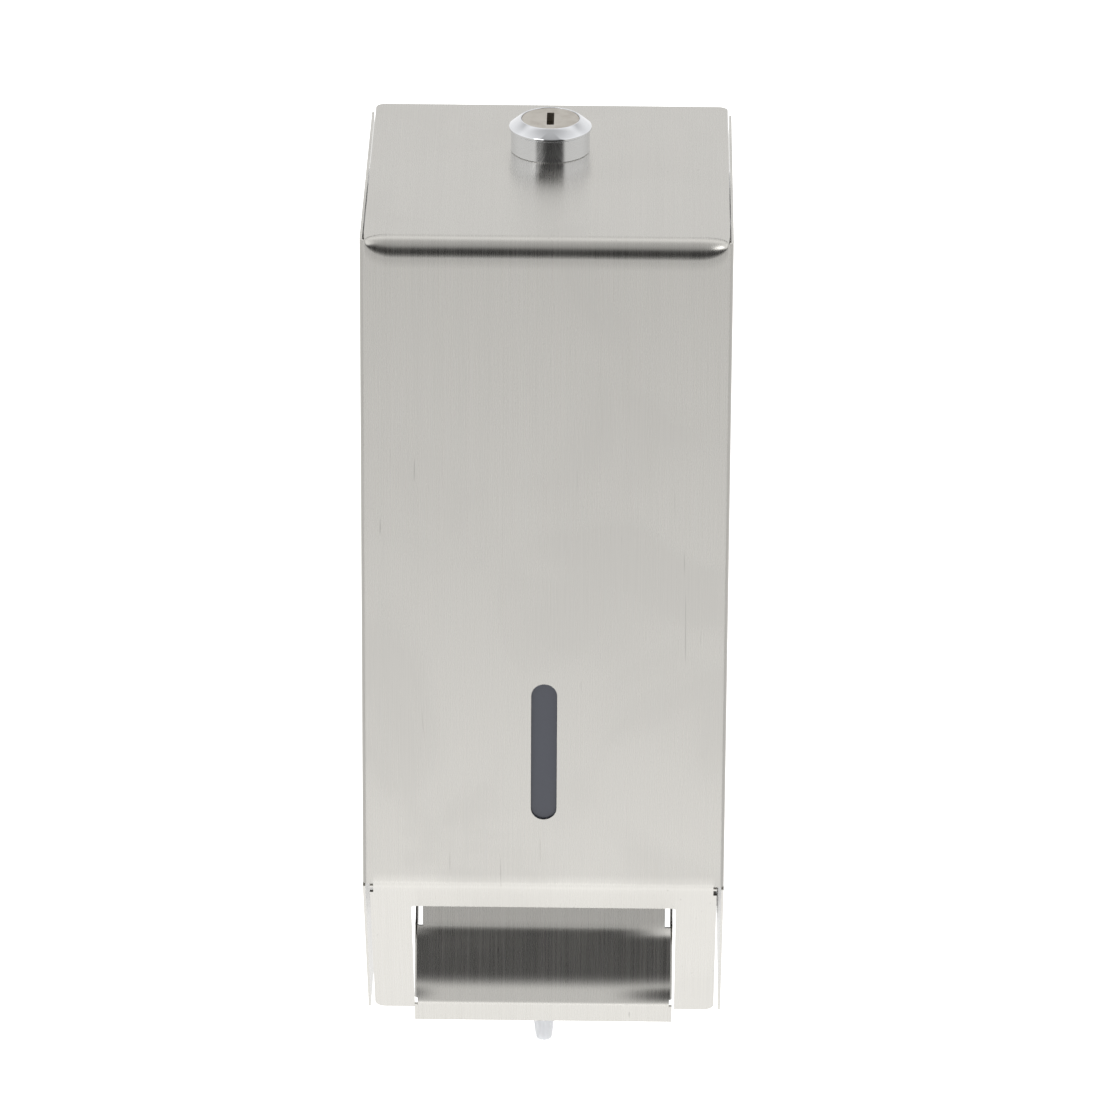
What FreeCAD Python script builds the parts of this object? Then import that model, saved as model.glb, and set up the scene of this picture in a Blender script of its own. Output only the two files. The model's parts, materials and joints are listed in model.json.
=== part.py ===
import FreeCAD, Part
import math
import os
import Sketcher

# Wall mounted soap dispenser: a locking folded steel cover over a refillable tank, with a
# push lever that works a piston pump.  Millimetres.  The wall is the plane y = 0, the
# front of the cover faces -Y and +Z is up.  The origin is the middle of the four wall screws.

doc = FreeCAD.newDocument("soap_dispenser")
Vector = FreeCAD.Vector
Rotation = FreeCAD.Rotation
Placement = FreeCAD.Placement
ORIGIN_POINT = (-1, 1)
HORIZONTAL_AXIS = -1
VERTICAL_AXIS = -2
TIP_STEPS = 6            # facets in a round corner that is drawn as a polygon
THROUGH = 250            # a cut this long clears the whole part
EDGE_TOLERANCE = 0.06    # how near an edge must lie to the place it is looked for

# ---------------------------------------------------------------- driving dimensions

SIZES = {
    # folded cover
    "cover_width": 115.0,
    "cover_front": 118.0,        # front face to wall
    "cover_rear_gap": 0.6,
    "cover_top": 145.0,
    "bend_level": -76.2,         # where the front turns into the sloping flap
    "cover_bottom": -142.5,
    "bottom_front": 74.5,        # bottom edge of the flap to wall
    "sheet": 0.8,
    "top_bend": 6.0,
    "side_bend": 1.6,
    "flap_half_width": 55.3,
    "slit_height": 1.0,
    "slit_depth": 3.3,
    "corner_clip": 7.5,
    "flap_corner": 3.4,
    "cutout_half_width": 42.3,
    "cutout_top": -87.2,
    "cutout_corner": 1.2,
    "slot_width": 8.2,
    "slot_top": -4.9,
    "slot_bottom": -52.3,
    # sight window
    "window_half_width": 8.0,
    "window_sheet": 2.0,
    "window_lap": 8.0,           # past each end of the slot
    "rail_half_width": 13.5,
    "rail_lap": 7.0,             # past each end of the slot
    "rail_lip": 5.5,             # from the middle plane to the rail's lip
    # hinge of the cover
    "hinge_y": -7.0,
    "hinge_level": -136.1,
    "hinge_corner": 6.4,
    "hinge_pin_radius": 2.5,
    "hinge_head_radius": 4.2,
    "hinge_head_height": 1.6,
    "spacer_radius": 4.6,
    "running_gap": 0.06,
    "fit_gap": 0.1,
    "side_play": 0.3,
    # back plate
    "plate_half_width": 53.6,
    "plate_sheet": 1.2,
    "plate_top": 122.4,
    "plate_bottom": -124.0,
    "plate_flange": 13.4,
    "catch_inner": 15.0,
    "catch_outer": 29.0,
    "catch_reach": 47.0,
    "catch_height": 8.5,
    "screw_half_x": 46.0,
    "screw_half_height": 106.0,
    "screw_hole_radius": 2.75,
    # lock on the top panel
    "lock_y": -39.2,
    "lock_body_radius": 12.55,
    "lock_rim_radius": 13.05,
    "lock_body_height": 7.2,
    "lock_rim_height": 8.1,
    "lock_face_height": 10.5,
    "lock_face_radius": 9.6,
    "lock_shank_radius": 9.4,
    "lock_shank_length": 15.0,
    "plug_face_radius": 9.1,
    "plug_face_height": 1.4,
    "plug_radius": 6.0,
    "keyway_length": 10.6,
    "keyway_width": 2.3,
    "keyway_depth": 9.0,
    "nut_across_flats": 23.0,
    "nut_height": 6.0,
    "washer_height": 0.9,
    "washer_radius": 12.4,
    "plug_tail_radius": 3.5,
    "cam_screw_radius": 1.9,
    "screw_head_radius": 4.6,
    "screw_head_height": 2.4,
    "screw_reach": 6.0,
    "cam_level": 126.8,
    "cam_sheet": 2.0,
    "cam_width": 11.0,
    "cam_reach": 24.0,
    # tank
    "tank_half_width": 49.5,
    "tank_front": -104.0,
    "tank_rear": -4.0,
    "tank_top": 88.0,
    "tank_bottom": -46.0,
    "tank_wall": 2.0,
    "tank_corner": 7.0,
    "mouth_half_x": 37.0,
    "mouth_half_y": 33.0,
    "mouth_y": -58.0,
    "collar_height": 3.0,
    "lid_height": 5.0,
    "lid_overhang": 5.0,
    "lid_corner": 5.0,
    "grip_half_x": 14.0,
    "grip_half_y": 3.0,
    "grip_height": 6.0,
    "clip_half_width": 10.0,
    "clip_sheet": 0.8,
    "clip_foot": 62.0,
    "clip_top": 99.0,
    "clip_reach": 9.0,
    "outlet_y": -45.0,
    "spigot_radius": 13.0,
    "spigot_bore": 9.0,
    "spigot_bottom": -62.0,
    "tank_nut_radius": 18.0,
    "tank_nut_height": 5.0,
    "notch_radius": 1.6,
    "notch_circle": 18.4,
    "union_radius": 16.0,
    "union_drop": 6.4,
    "union_rise": 7.2,
    "seat_depth": 3.6,           # below the spigot, where the riser's collar rests
    # pump
    "pump_level": -103.0,
    "pump_front": -84.0,
    "pump_rear": -33.0,
    "pump_radius": 12.0,
    "pump_bore": 9.5,
    "rod_radius": 4.0,
    "rod_front": -95.9,
    "piston_front": -73.0,
    "piston_rear": -66.0,
    "nozzle_y": -82.0,
    "nozzle_tip": -149.3,
    "nozzle_bore": 1.6,
    "nozzle_end_radius": 2.1,
    "nozzle_sleeve_radius": 6.2,
    "elbow_drop": 6.0,
    "coil_radius": 6.6,
    "wire_radius": 0.6,
    "coil_turns": 7,
    "duct_level": -122.5,
    "duct_radius": 4.4,
    "riser_radius": 8.0,
    "ball_radius": 3.5,
    "ball_level": -72.0,
    # lever
    "pivot_y": -86.0,
    "pivot_level": -86.0,
    "pivot_pin_radius": 2.0,
    "lever_half_width": 41.5,
    "band_half_width": 39.0,
    "lever_sheet": 0.8,
    "lever_top_y": -95.9,
    "band_foot_y": -97.5,
    "band_foot_level": -101.5,
    "plate_foot_y": -101.6,
    "plate_foot_level": -116.0,
    "crease_y": -102.6,
    "crease_level": -125.2,
    "crease_radius": 4.0,
    "lip_y": -100.8,
    "lip_level": -132.6,
    "eye_radius": 3.0,
    "ear_toe_y": -92.0,
    "ear_rear_y": -79.0,
    "ear_rear_low": -100.0,
    "ear_rear_high": -84.0,
    "ear_top_level": -80.5,
    "ear_top_rear_y": -82.0,
    "ear_top_front_y": -90.0,
    "throat_top_y": -92.4,
    "throat_foot_y": -93.0,
    "throat_foot_level": -98.0,
    "arm_outer": 39.4,
    "arm_sheet": 1.5,
    "arm_boss_radius": 4.5,
    "arm_depth": 26.0,
    "shelf_half_width": 46.0,
    "shelf_front": -98.0,
    "bracket_flange_half": 40.0,
    "bracket_flange_foot": -84.0,
    "rivet_radius": 3.4,
    "rivet_height": 1.4,
    "rivet_half_x": 32.0,
    "rivet_low": -78.0,
    "rivet_high": -56.0,
}

sheet = doc.addObject("Spreadsheet::Sheet", "Size")
for row, (alias, number) in enumerate(SIZES.items(), start=1):
    sheet.set(f"A{row}", alias)
    sheet.set(f"B{row}", str(number))
    sheet.setAlias(f"B{row}", alias)
doc.recompute()


class Dim:
    """A length that carries both its number and the sheet expression that makes it."""

    def __init__(self, number, text):
        self.number = float(number)
        self.text = text

    def __add__(self, other):
        other = dim(other)
        return Dim(self.number + other.number, f"({self.text} + {other.text})")

    def __sub__(self, other):
        other = dim(other)
        return Dim(self.number - other.number, f"({self.text} - {other.text})")

    def __mul__(self, factor):
        factor = dim(factor)
        return Dim(self.number * factor.number, f"({self.text} * {factor.text})")

    def __truediv__(self, factor):
        factor = dim(factor)
        return Dim(self.number / factor.number, f"({self.text} / {factor.text})")

    def __neg__(self):
        return Dim(-self.number, f"(0 - {self.text})")

    __radd__ = __add__
    __rmul__ = __mul__

    def __rsub__(self, other):
        return dim(other) - self


def dim(thing):
    """Take a Dim as it is, and make a Dim of a plain number."""
    if isinstance(thing, Dim):
        return thing
    text = f"{thing:g}"
    return Dim(thing, f"({text})" if thing < 0 else text)


class Sizes:
    """The sheet's cells as Dims, by alias."""

    def __getattr__(self, alias):
        return Dim(sheet.get(alias), f"Size.{alias}")


S = Sizes()
half_width = S.cover_width / 2
inner_half = half_width - S.sheet
front = -S.cover_front
rear = -S.cover_rear_gap
bottom_y = -S.bottom_front
top_inner = S.cover_top - S.sheet

# ---------------------------------------------------------------- modelling helpers

parts = {}


def bind(feature, **properties):
    """Set each property from its Dim and keep it tied to the sheet."""
    for path, value in properties.items():
        value = dim(value)
        feature.setExpression(path, value.text)


def place(feature, x=0, y=0, z=0, turn=None):
    """Put a feature at a point, each coordinate tied to the sheet."""
    rotation = turn if turn else Rotation()
    feature.Placement = Placement(Vector(dim(x).number, dim(y).number, dim(z).number), rotation)
    for axis, value in (("x", x), ("y", y), ("z", z)):
        if isinstance(value, Dim):
            feature.setExpression(f"Placement.Base.{axis}", value.text)
    return feature


ALONG_X = Rotation(Vector(0, 1, 0), 90)
ALONG_Y = Rotation(Vector(1, 0, 0), -90)


def part_box(name, x0, x1, y0, y1, z0, z1):
    """A box between three pairs of planes."""
    feature = doc.addObject("Part::Box", name)
    bind(feature, Length=dim(x1) - x0, Width=dim(y1) - y0, Height=dim(z1) - z0)
    return place(feature, x0, y0, z0)


def part_cylinder(name, radius, height, x=0, y=0, z=0, turn=None):
    """A cylinder that starts at a point and runs along +Z, or along the turned axis."""
    feature = doc.addObject("Part::Cylinder", name)
    bind(feature, Radius=radius, Height=height)
    return place(feature, x, y, z, turn)


def part_ball(name, radius, x=0, y=0, z=0):
    """A ball about a point."""
    feature = doc.addObject("Part::Sphere", name)
    bind(feature, Radius=radius)
    return place(feature, x, y, z)


def fuse(name, *pieces):
    """Join pieces into one."""
    feature = doc.addObject("Part::MultiFuse", name)
    feature.Shapes = list(pieces)
    feature.Refine = True
    return feature


def cut(name, base, *tools):
    """Take tools away from a base."""
    tool = tools[0] if len(tools) == 1 else fuse(name + "_tools", *tools)
    feature = doc.addObject("Part::Cut", name)
    feature.Base = base
    feature.Tool = tool
    feature.Refine = True
    return feature


def group(name, *pieces):
    """Several separate solids in one node."""
    feature = doc.addObject("Part::Compound", name)
    feature.Links = list(pieces)
    return feature


def mirrored(name, source):
    """The same piece on the other side of the middle plane x = 0."""
    feature = doc.addObject("Part::Mirroring", name)
    feature.Source = source
    feature.Base = Vector(0, 0, 0)
    feature.Normal = Vector(1, 0, 0)
    return feature


def finish(label, feature):
    """Give the finished sub-part its node name and keep it for the export."""
    feature.Label = label
    parts[label] = feature
    return feature


def new_body(name):
    """A PartDesign body."""
    return doc.addObject("PartDesign::Body", name)


def new_sketch(body, plane, name, offset=0):
    """A sketch on one of the body's own origin planes, moved along the plane's normal."""
    sketch = body.newObject("Sketcher::SketchObject", name)
    planes = [item for item in body.Origin.OriginFeatures if item.Role == plane]
    sketch.AttachmentSupport = [(planes[0], "")]
    sketch.MapMode = "FlatFace"
    if isinstance(offset, Dim):
        sketch.AttachmentOffset = Placement(Vector(0, 0, offset.number), Rotation())
        sketch.setExpression("AttachmentOffset.Base.z", offset.text)
    return sketch


def hold_point(sketch, geometry, position, u, v):
    """Tie a sketch point to two distances from the origin, or to an axis where one is zero."""
    for kind, axis, value in (("DistanceX", VERTICAL_AXIS, dim(u)), ("DistanceY", HORIZONTAL_AXIS, dim(v))):
        if abs(value.number) < 1e-9:
            sketch.addConstraint(Sketcher.Constraint("PointOnObject", geometry, position, axis))
            continue
        index = sketch.addConstraint(
            Sketcher.Constraint(kind, *ORIGIN_POINT, geometry, position, value.number))
        sketch.setExpression(f"Constraints[{index}]", value.text)


def draw_polygon(sketch, points):
    """A closed polygon through points, each held by the sheet."""
    numbers = [Vector(dim(u).number, dim(v).number, 0) for u, v in points]
    first = sketch.GeometryCount
    count = len(points)
    for index in range(count):
        sketch.addGeometry(Part.LineSegment(numbers[index], numbers[(index + 1) % count]), False)
    for index in range(count):
        following = first + (index + 1) % count
        sketch.addConstraint(Sketcher.Constraint("Coincident", first + index, 2, following, 1))
    for index, (u, v) in enumerate(points):
        hold_point(sketch, first + index, 1, u, v)


def draw_rectangle(sketch, u0, u1, v0, v1):
    """A rectangle between two pairs of lines."""
    draw_polygon(sketch, [(u0, v0), (u1, v0), (u1, v1), (u0, v1)])


def draw_rounded_rectangle(sketch, u0, u1, v0, v1, radius):
    """A rectangle whose corners are quarter rounds of short facets."""
    points = []
    for quarter, (u, v) in enumerate([(u1 - radius, v1 - radius), (u0 + radius, v1 - radius),
                                      (u0 + radius, v0 + radius), (u1 - radius, v0 + radius)]):
        for step in range(TIP_STEPS + 1):
            angle = math.radians(90 * (quarter + step / TIP_STEPS))
            points.append((u + radius * math.cos(angle), v + radius * math.sin(angle)))
    draw_polygon(sketch, points)


def draw_circle(sketch, u, v, radius):
    """A circle held by its centre and radius."""
    radius = dim(radius)
    centre = Vector(dim(u).number, dim(v).number, 0)
    index = sketch.addGeometry(Part.Circle(centre, Vector(0, 0, 1), radius.number), False)
    hold_point(sketch, index, 3, u, v)
    constraint = sketch.addConstraint(Sketcher.Constraint("Radius", index, radius.number))
    sketch.setExpression(f"Constraints[{constraint}]", radius.text)


def extrude(body, sketch, kind, name, length, symmetric=False, backwards=False):
    """Pad or pocket a sketch."""
    feature = body.newObject(f"PartDesign::{kind}", name)
    feature.Profile = sketch
    feature.Midplane = symmetric
    feature.Reversed = backwards
    bind(feature, Length=length)
    sketch.Visibility = False
    doc.recompute()
    return feature


def revolve(body, sketch, kind, name):
    """Turn a sketch a full turn about its vertical axis."""
    feature = body.newObject(f"PartDesign::{kind}", name)
    feature.Profile = sketch
    feature.ReferenceAxis = (sketch, ["V_Axis"])
    feature.Angle = 360.0
    doc.recompute()
    return feature


def edges_at(shape, **where):
    """Names of the edges whose middles lie at the given coordinates."""
    names = []
    for index, edge in enumerate(shape.Edges, start=1):
        middle = edge.CenterOfMass
        spots = {"x": middle.x, "y": middle.y, "z": middle.z, "size": edge.Length}
        hits = [any(abs(spots[key] - dim(value).number) < EDGE_TOLERANCE for value in values)
                for key, values in where.items()]
        if all(hits):
            names.append(f"Edge{index}")
    return names


def round_edges(body, base, names, radius, name):
    """Fillet edges of a PartDesign feature."""
    if not names:
        raise RuntimeError(f"{name}: no edges found")
    feature = body.newObject("PartDesign::Fillet", name)
    feature.Base = (base, names)
    bind(feature, Radius=radius)
    doc.recompute()
    return feature


def thickened(points, thickness):
    """The closed outline of a strip whose front runs through points and whose back is offset to +Y."""
    normals = []
    for (y0, z0), (y1, z1) in zip(points, points[1:]):
        across, down = (y1 - y0).number, (z0 - z1).number
        length = math.hypot(across, down)
        normals.append((down / length, across / length))
    back = []
    for index, (y, z) in enumerate(points):
        before = normals[max(index - 1, 0)]
        after = normals[min(index, len(normals) - 1)]
        mitre = thickness / (1 + before[0] * after[0] + before[1] * after[1])
        back.append((y + (before[0] + after[0]) * mitre, z + (before[1] + after[1]) * mitre))
    return list(points) + back[::-1]


def turned(label, profile, x=0, y=0, z=0, turn=None):
    """A round piece: a half profile of (radius, height) points turned about its own axis."""
    body = new_body(label)
    sketch = new_sketch(body, "XZ_Plane", f"{label}_profile")
    draw_polygon(sketch, profile)
    revolve(body, sketch, "Revolution", f"{label}_turned")
    place(body, x, y, z, turn)
    return body


def flap_y(level, offset=0):
    """The depth of the sloping flap at a level, moved inward by an offset along its normal."""
    slope = (front - bottom_y) / (S.bend_level - S.cover_bottom)
    run = math.hypot((front - bottom_y).number, (S.bend_level - S.cover_bottom).number)
    lean = run / (S.bend_level - S.cover_bottom).number
    return bottom_y + (dim(level) - S.cover_bottom) * slope + dim(offset) * lean


# ---------------------------------------------------------------- cover

def build_cover():
    """One folded sheet: top, front, two sides and a sloping lower flap with the lever's cut-out."""
    body = new_body("front_cover")
    outline = new_sketch(body, "YZ_Plane", "cover_outline")
    draw_polygon(outline, [(rear, S.cover_top), (front, S.cover_top), (front, S.bend_level),
                           (bottom_y, S.cover_bottom), (rear, S.cover_bottom)])
    extrude(body, outline, "Pad", "cover_block", S.cover_width, symmetric=True)
    below = S.cover_bottom - 5
    lean = math.atan2((bottom_y - front).number, (S.bend_level - S.cover_bottom).number)
    inner_bend = S.bend_level + S.sheet * math.tan(lean / 2)
    hollow = new_sketch(body, "YZ_Plane", "cover_hollow")
    draw_polygon(hollow, [
        (rear + 5, top_inner), (front + S.sheet, top_inner), (front + S.sheet, inner_bend),
        (flap_y(below, S.sheet), below), (rear + 5, below)])
    shell = extrude(body, hollow, "Pocket", "cover_inside", inner_half * 2, symmetric=True)
    inner_top = edges_at(shell.Shape, x=[0], y=[front + S.sheet], z=[top_inner])
    shell = round_edges(body, shell, inner_top, S.top_bend - S.sheet, "cover_inner_bend")
    outer_top = edges_at(shell.Shape, x=[0], y=[front], z=[S.cover_top])
    shell = round_edges(body, shell, outer_top, S.top_bend, "cover_top_bend")
    uprights = edges_at(shell.Shape, x=[half_width, -half_width], y=[front])
    shell = round_edges(body, shell, uprights, S.side_bend, "cover_side_bends")
    middle = half_width - S.sheet / 2
    heels = edges_at(shell.Shape, x=[middle, -middle], y=[rear], z=[S.cover_bottom])
    round_edges(body, shell, heels, S.hinge_corner, "cover_heels")

    # gaps that part the flap from the side panels, and the bend reliefs above them
    for side in (1, -1):
        gap = new_sketch(body, "XZ_Plane", f"flap_gap_{side}")
        draw_rectangle(gap, S.flap_half_width * side, inner_half * side,
                       below, S.bend_level)
        extrude(body, gap, "Pocket", f"flap_gap_cut_{side}", THROUGH, symmetric=True)
        relief = new_sketch(body, "XZ_Plane", f"relief_{side}", S.cover_front - 2.5)
        draw_rectangle(relief, (half_width - S.slit_depth) * side, (half_width + 1) * side,
                       S.bend_level - S.slit_height / 2, S.bend_level + S.slit_height / 2)
        extrude(body, relief, "Pocket", f"relief_cut_{side}", 5, backwards=True)

    window = new_sketch(body, "XZ_Plane", "window_slot", S.cover_front - 5)
    draw_rectangle(window, -S.slot_width / 2, S.slot_width / 2, S.slot_bottom, S.slot_top)
    slot = extrude(body, window, "Pocket", "window_cut", 12, backwards=True)
    slot_ends = edges_at(slot.Shape, x=[S.slot_width / 2, -S.slot_width / 2],
                         y=[front + S.sheet / 2])
    slot = round_edges(body, slot, slot_ends, S.slot_width / 2 - 0.02, "window_round_ends")

    opening = new_sketch(body, "XZ_Plane", "lever_opening")
    draw_rectangle(opening, -S.cutout_half_width, S.cutout_half_width,
                   below, S.cutout_top)
    cutout = extrude(body, opening, "Pocket", "lever_cutout", THROUGH, symmetric=True)
    corner_y = flap_y(S.cutout_top, S.sheet / 2)
    corners = edges_at(cutout.Shape, x=[S.cutout_half_width, -S.cutout_half_width], y=[corner_y])
    round_edges(body, cutout, corners, S.cutout_corner, "cutout_corners")
    for side in (1, -1):
        tip = new_sketch(body, "XZ_Plane", f"flap_tip_{side}")
        centre_x = S.flap_half_width - S.flap_corner
        centre_z = S.cover_bottom + S.flap_corner
        arc = [(side * (centre_x + S.flap_corner * math.cos(angle)),
                centre_z - S.flap_corner * math.sin(angle))
               for angle in (math.radians(90 * step / TIP_STEPS) for step in range(TIP_STEPS + 1))]
        outside = [(side * centre_x, S.cover_bottom - 2),
                   (side * (S.flap_half_width + 0.5), S.cover_bottom - 2),
                   (side * (S.flap_half_width + 0.5), centre_z)]
        draw_polygon(tip, arc + outside)
        extrude(body, tip, "Pocket", f"flap_tip_cut_{side}", THROUGH, symmetric=True)

    for side in (1, -1):
        tool = new_sketch(body, "XY_Plane", f"clip_{side}", S.cover_top + 1)
        draw_rectangle(tool, inner_half * side, (half_width + 1) * side,
                       rear - S.corner_clip, rear + 1)
        extrude(body, tool, "Pocket", f"clip_cut_{side}", S.corner_clip + 1)

    seat = new_sketch(body, "XY_Plane", "lock_seat", S.cover_top + 1)
    draw_circle(seat, 0, S.lock_y, S.lock_shank_radius + S.fit_gap)
    extrude(body, seat, "Pocket", "lock_seat_cut", 5)
    hinge = new_sketch(body, "YZ_Plane", "hinge_holes")
    draw_circle(hinge, S.hinge_y, S.hinge_level, S.hinge_pin_radius + S.running_gap)
    extrude(body, hinge, "Pocket", "hinge_holes_cut", S.cover_width + 2, symmetric=True)
    return finish("front_cover", body)


def build_window():
    """The smoked strip behind the slot and the two rails that hold it."""
    behind = front + S.sheet
    strip = part_box("window_strip", -S.window_half_width, S.window_half_width, behind,
                     behind + S.window_sheet, S.slot_bottom - S.window_lap, S.slot_top + S.window_lap)
    finish("sight_window", strip)
    rails = []
    beside = S.window_half_width
    over = behind + S.window_sheet
    low = S.slot_bottom - S.rail_lap
    high = S.slot_top + S.rail_lap
    for side, name in ((1, "rail_right"), (-1, "rail_left")):
        wing = part_box(name + "_wing", beside, S.rail_half_width, behind, behind + S.sheet, low, high)
        web = part_box(name + "_web", beside, beside + S.sheet, behind, over + S.sheet, low, high)
        lip = part_box(name + "_lip", S.rail_lip, beside + S.sheet, over, over + S.sheet, low, high)
        rail = fuse(name, wing, web, lip)
        rails.append(rail if side > 0 else mirrored(name + "_mirror", rail))
    finish("window_rails", group("window_rails", *rails))


# ---------------------------------------------------------------- lock

def build_lock():
    """A cam lock through the top panel: chrome head, turning plug, cam, screw, washer and nut."""
    head = S.cover_top
    recess = S.lock_face_height - S.plug_face_height
    housing = turned("lock_housing", [
        (S.plug_radius + S.running_gap, -S.lock_shank_length),
        (S.lock_shank_radius, -S.lock_shank_length),
        (S.lock_shank_radius, 0),
        (S.lock_body_radius, 0),
        (S.lock_body_radius, S.lock_body_height),
        (S.lock_rim_radius, S.lock_body_height),
        (S.lock_rim_radius, S.lock_rim_height),
        (S.lock_face_radius, S.lock_face_height),
        (S.plug_face_radius + S.running_gap, S.lock_face_height),
        (S.plug_face_radius + S.running_gap, recess - 0.05),
        (S.plug_radius + S.running_gap, recess - 0.05),
    ], 0, S.lock_y, head)
    finish("lock_housing", housing)

    tail_end = S.cam_level - head
    plug = new_body("lock_plug")
    profile = new_sketch(plug, "XZ_Plane", "plug_profile")
    draw_polygon(profile, [
        (0, tail_end), (S.plug_tail_radius, tail_end), (S.plug_tail_radius, tail_end + S.cam_sheet),
        (S.plug_radius, tail_end + S.cam_sheet), (S.plug_radius, recess),
        (S.plug_face_radius, recess), (S.plug_face_radius, S.lock_face_height),
        (0, S.lock_face_height)])
    revolve(plug, profile, "Revolution", "plug_turned")
    keyway = new_sketch(plug, "XY_Plane", "keyway", S.lock_face_height + 1)
    draw_rectangle(keyway, -S.keyway_width / 2, S.keyway_width / 2,
                   -S.keyway_length / 2, S.keyway_length / 2)
    extrude(plug, keyway, "Pocket", "keyway_cut", S.keyway_depth + 1)
    socket = new_sketch(plug, "XY_Plane", "screw_socket", tail_end - 1)
    draw_circle(socket, 0, 0, S.cam_screw_radius)
    extrude(plug, socket, "Pocket", "screw_socket_cut", 8, backwards=True)
    place(plug, 0, S.lock_y, head)
    finish("lock_plug", plug)

    blade = part_box("cam_blade", -S.cam_width / 2, S.cam_width / 2, S.lock_y - S.cam_width / 2,
                     S.lock_y + S.cam_reach - S.cam_width / 2, S.cam_level, S.cam_level + S.cam_sheet)
    tip = part_cylinder("cam_tip", S.cam_width / 2, S.cam_sheet,
                        0, S.lock_y + S.cam_reach - S.cam_width / 2, S.cam_level)
    eye = part_cylinder("cam_eye", S.plug_tail_radius, S.cam_sheet * 3,
                        0, S.lock_y, S.cam_level - S.cam_sheet)
    finish("lock_cam", cut("lock_cam", fuse("cam_blank", blade, tip), eye))

    head_low = S.cam_level - S.screw_head_height
    screw_head = part_cylinder("cam_screw_head", S.screw_head_radius, S.screw_head_height,
                               0, S.lock_y, head_low)
    screw_shank = part_cylinder("cam_screw_shank", S.cam_screw_radius,
                                S.screw_head_height + S.screw_reach, 0, S.lock_y, head_low)
    screw_slot = part_box("cam_screw_slot", -5, 5, S.lock_y - 0.5, S.lock_y + 0.5,
                          head_low - 1, head_low + S.screw_head_height / 2)
    finish("cam_screw", cut("cam_screw", fuse("cam_screw_blank", screw_head, screw_shank), screw_slot))

    washer_disc = part_cylinder("washer_disc", S.washer_radius, S.washer_height,
                                0, S.lock_y, top_inner - S.washer_height)
    washer_hole = part_cylinder("washer_hole", S.lock_shank_radius + S.fit_gap, 5, 0, S.lock_y,
                                top_inner - 3)
    finish("lock_washer", cut("lock_washer", washer_disc, washer_hole))

    nut_top = top_inner - S.washer_height
    nut = doc.addObject("Part::Prism", "nut_blank")
    nut.Polygon = 6
    bind(nut, Circumradius=S.nut_across_flats / math.sqrt(3), Height=S.nut_height)
    place(nut, 0, S.lock_y, nut_top - S.nut_height)
    nut_hole = part_cylinder("nut_hole", S.lock_shank_radius, 12, 0, S.lock_y, nut_top - 9)
    finish("lock_nut", cut("lock_nut", nut, nut_hole))


# ---------------------------------------------------------------- back plate and hinge

def build_back_plate():
    """The folded plate on the wall, with the lock's catch on top and the cover's hinge ears."""
    half = S.plate_half_width
    thick = S.plate_sheet
    body = new_body("back_plate")
    face = new_sketch(body, "XZ_Plane", "plate_face")
    draw_rectangle(face, -half, half, S.plate_bottom, S.plate_top)
    extrude(body, face, "Pad", "plate", thick)
    for side in (1, -1):
        edge = new_sketch(body, "XZ_Plane", f"flange_{side}")
        draw_rectangle(edge, (half - thick) * side, half * side,
                       S.hinge_level - S.hinge_corner, S.plate_top - thick)
        extrude(body, edge, "Pad", f"flange_pad_{side}", S.plate_flange)
    shelf = new_sketch(body, "XZ_Plane", "shelf")
    draw_rectangle(shelf, -half, half, S.plate_top - thick, S.plate_top)
    extrude(body, shelf, "Pad", "shelf_pad", S.plate_flange)
    reach = new_sketch(body, "XZ_Plane", "catch")
    draw_rectangle(reach, S.catch_inner, S.catch_outer, S.plate_top - thick, S.plate_top)
    extrude(body, reach, "Pad", "catch_pad", S.catch_reach)
    lip = new_sketch(body, "XZ_Plane", "catch_lip", S.catch_reach - thick)
    draw_rectangle(lip, S.catch_inner, S.catch_outer, S.plate_top - thick,
                   S.plate_top + S.catch_height)
    plate = extrude(body, lip, "Pad", "catch_lip_pad", thick)

    toes = edges_at(plate.Shape, y=[-S.plate_flange], z=[S.hinge_level - S.hinge_corner])
    toes += edges_at(plate.Shape, y=[0], z=[S.hinge_level - S.hinge_corner])
    plate = round_edges(body, plate, toes, S.hinge_corner - 0.1, "ear_corners")
    hinge = new_sketch(body, "YZ_Plane", "ear_holes")
    draw_circle(hinge, S.hinge_y, S.hinge_level, S.hinge_pin_radius)
    extrude(body, hinge, "Pocket", "ear_holes_cut", half * 2 + 2, symmetric=True)
    screws = new_sketch(body, "XZ_Plane", "screw_holes", S.plate_sheet + 1)
    for u in (-S.screw_half_x, S.screw_half_x):
        for v in (-S.screw_half_height, S.screw_half_height):
            draw_circle(screws, u, v, S.screw_hole_radius)
    extrude(body, screws, "Pocket", "screw_holes_cut", 5)
    finish("back_plate", body)

    pins = []
    spacers = []
    for side, name in ((1, "right"), (-1, "left")):
        start = half - thick - S.hinge_head_height
        shank = part_cylinder(f"hinge_shank_{name}", S.hinge_pin_radius, half_width - S.fit_gap - start,
                              start, S.hinge_y, S.hinge_level, ALONG_X)
        head = part_cylinder(f"hinge_head_{name}", S.hinge_head_radius, S.hinge_head_height,
                             start, S.hinge_y, S.hinge_level, ALONG_X)
        pin = fuse(f"hinge_pin_{name}", shank, head)
        ring = part_cylinder(f"spacer_ring_{name}", S.spacer_radius, inner_half - half - S.side_play,
                             half, S.hinge_y, S.hinge_level, ALONG_X)
        bore = part_cylinder(f"spacer_bore_{name}", S.hinge_pin_radius, 20,
                             half - 5, S.hinge_y, S.hinge_level, ALONG_X)
        spacer = cut(f"spacer_{name}", ring, bore)
        pins.append(pin if side > 0 else mirrored("hinge_pin_mirror", pin))
        spacers.append(spacer if side > 0 else mirrored("spacer_mirror", spacer))
    finish("hinge_pins", group("hinge_pins", *pins))
    finish("hinge_spacers", group("hinge_spacers", *spacers))


# ---------------------------------------------------------------- tank

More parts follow.
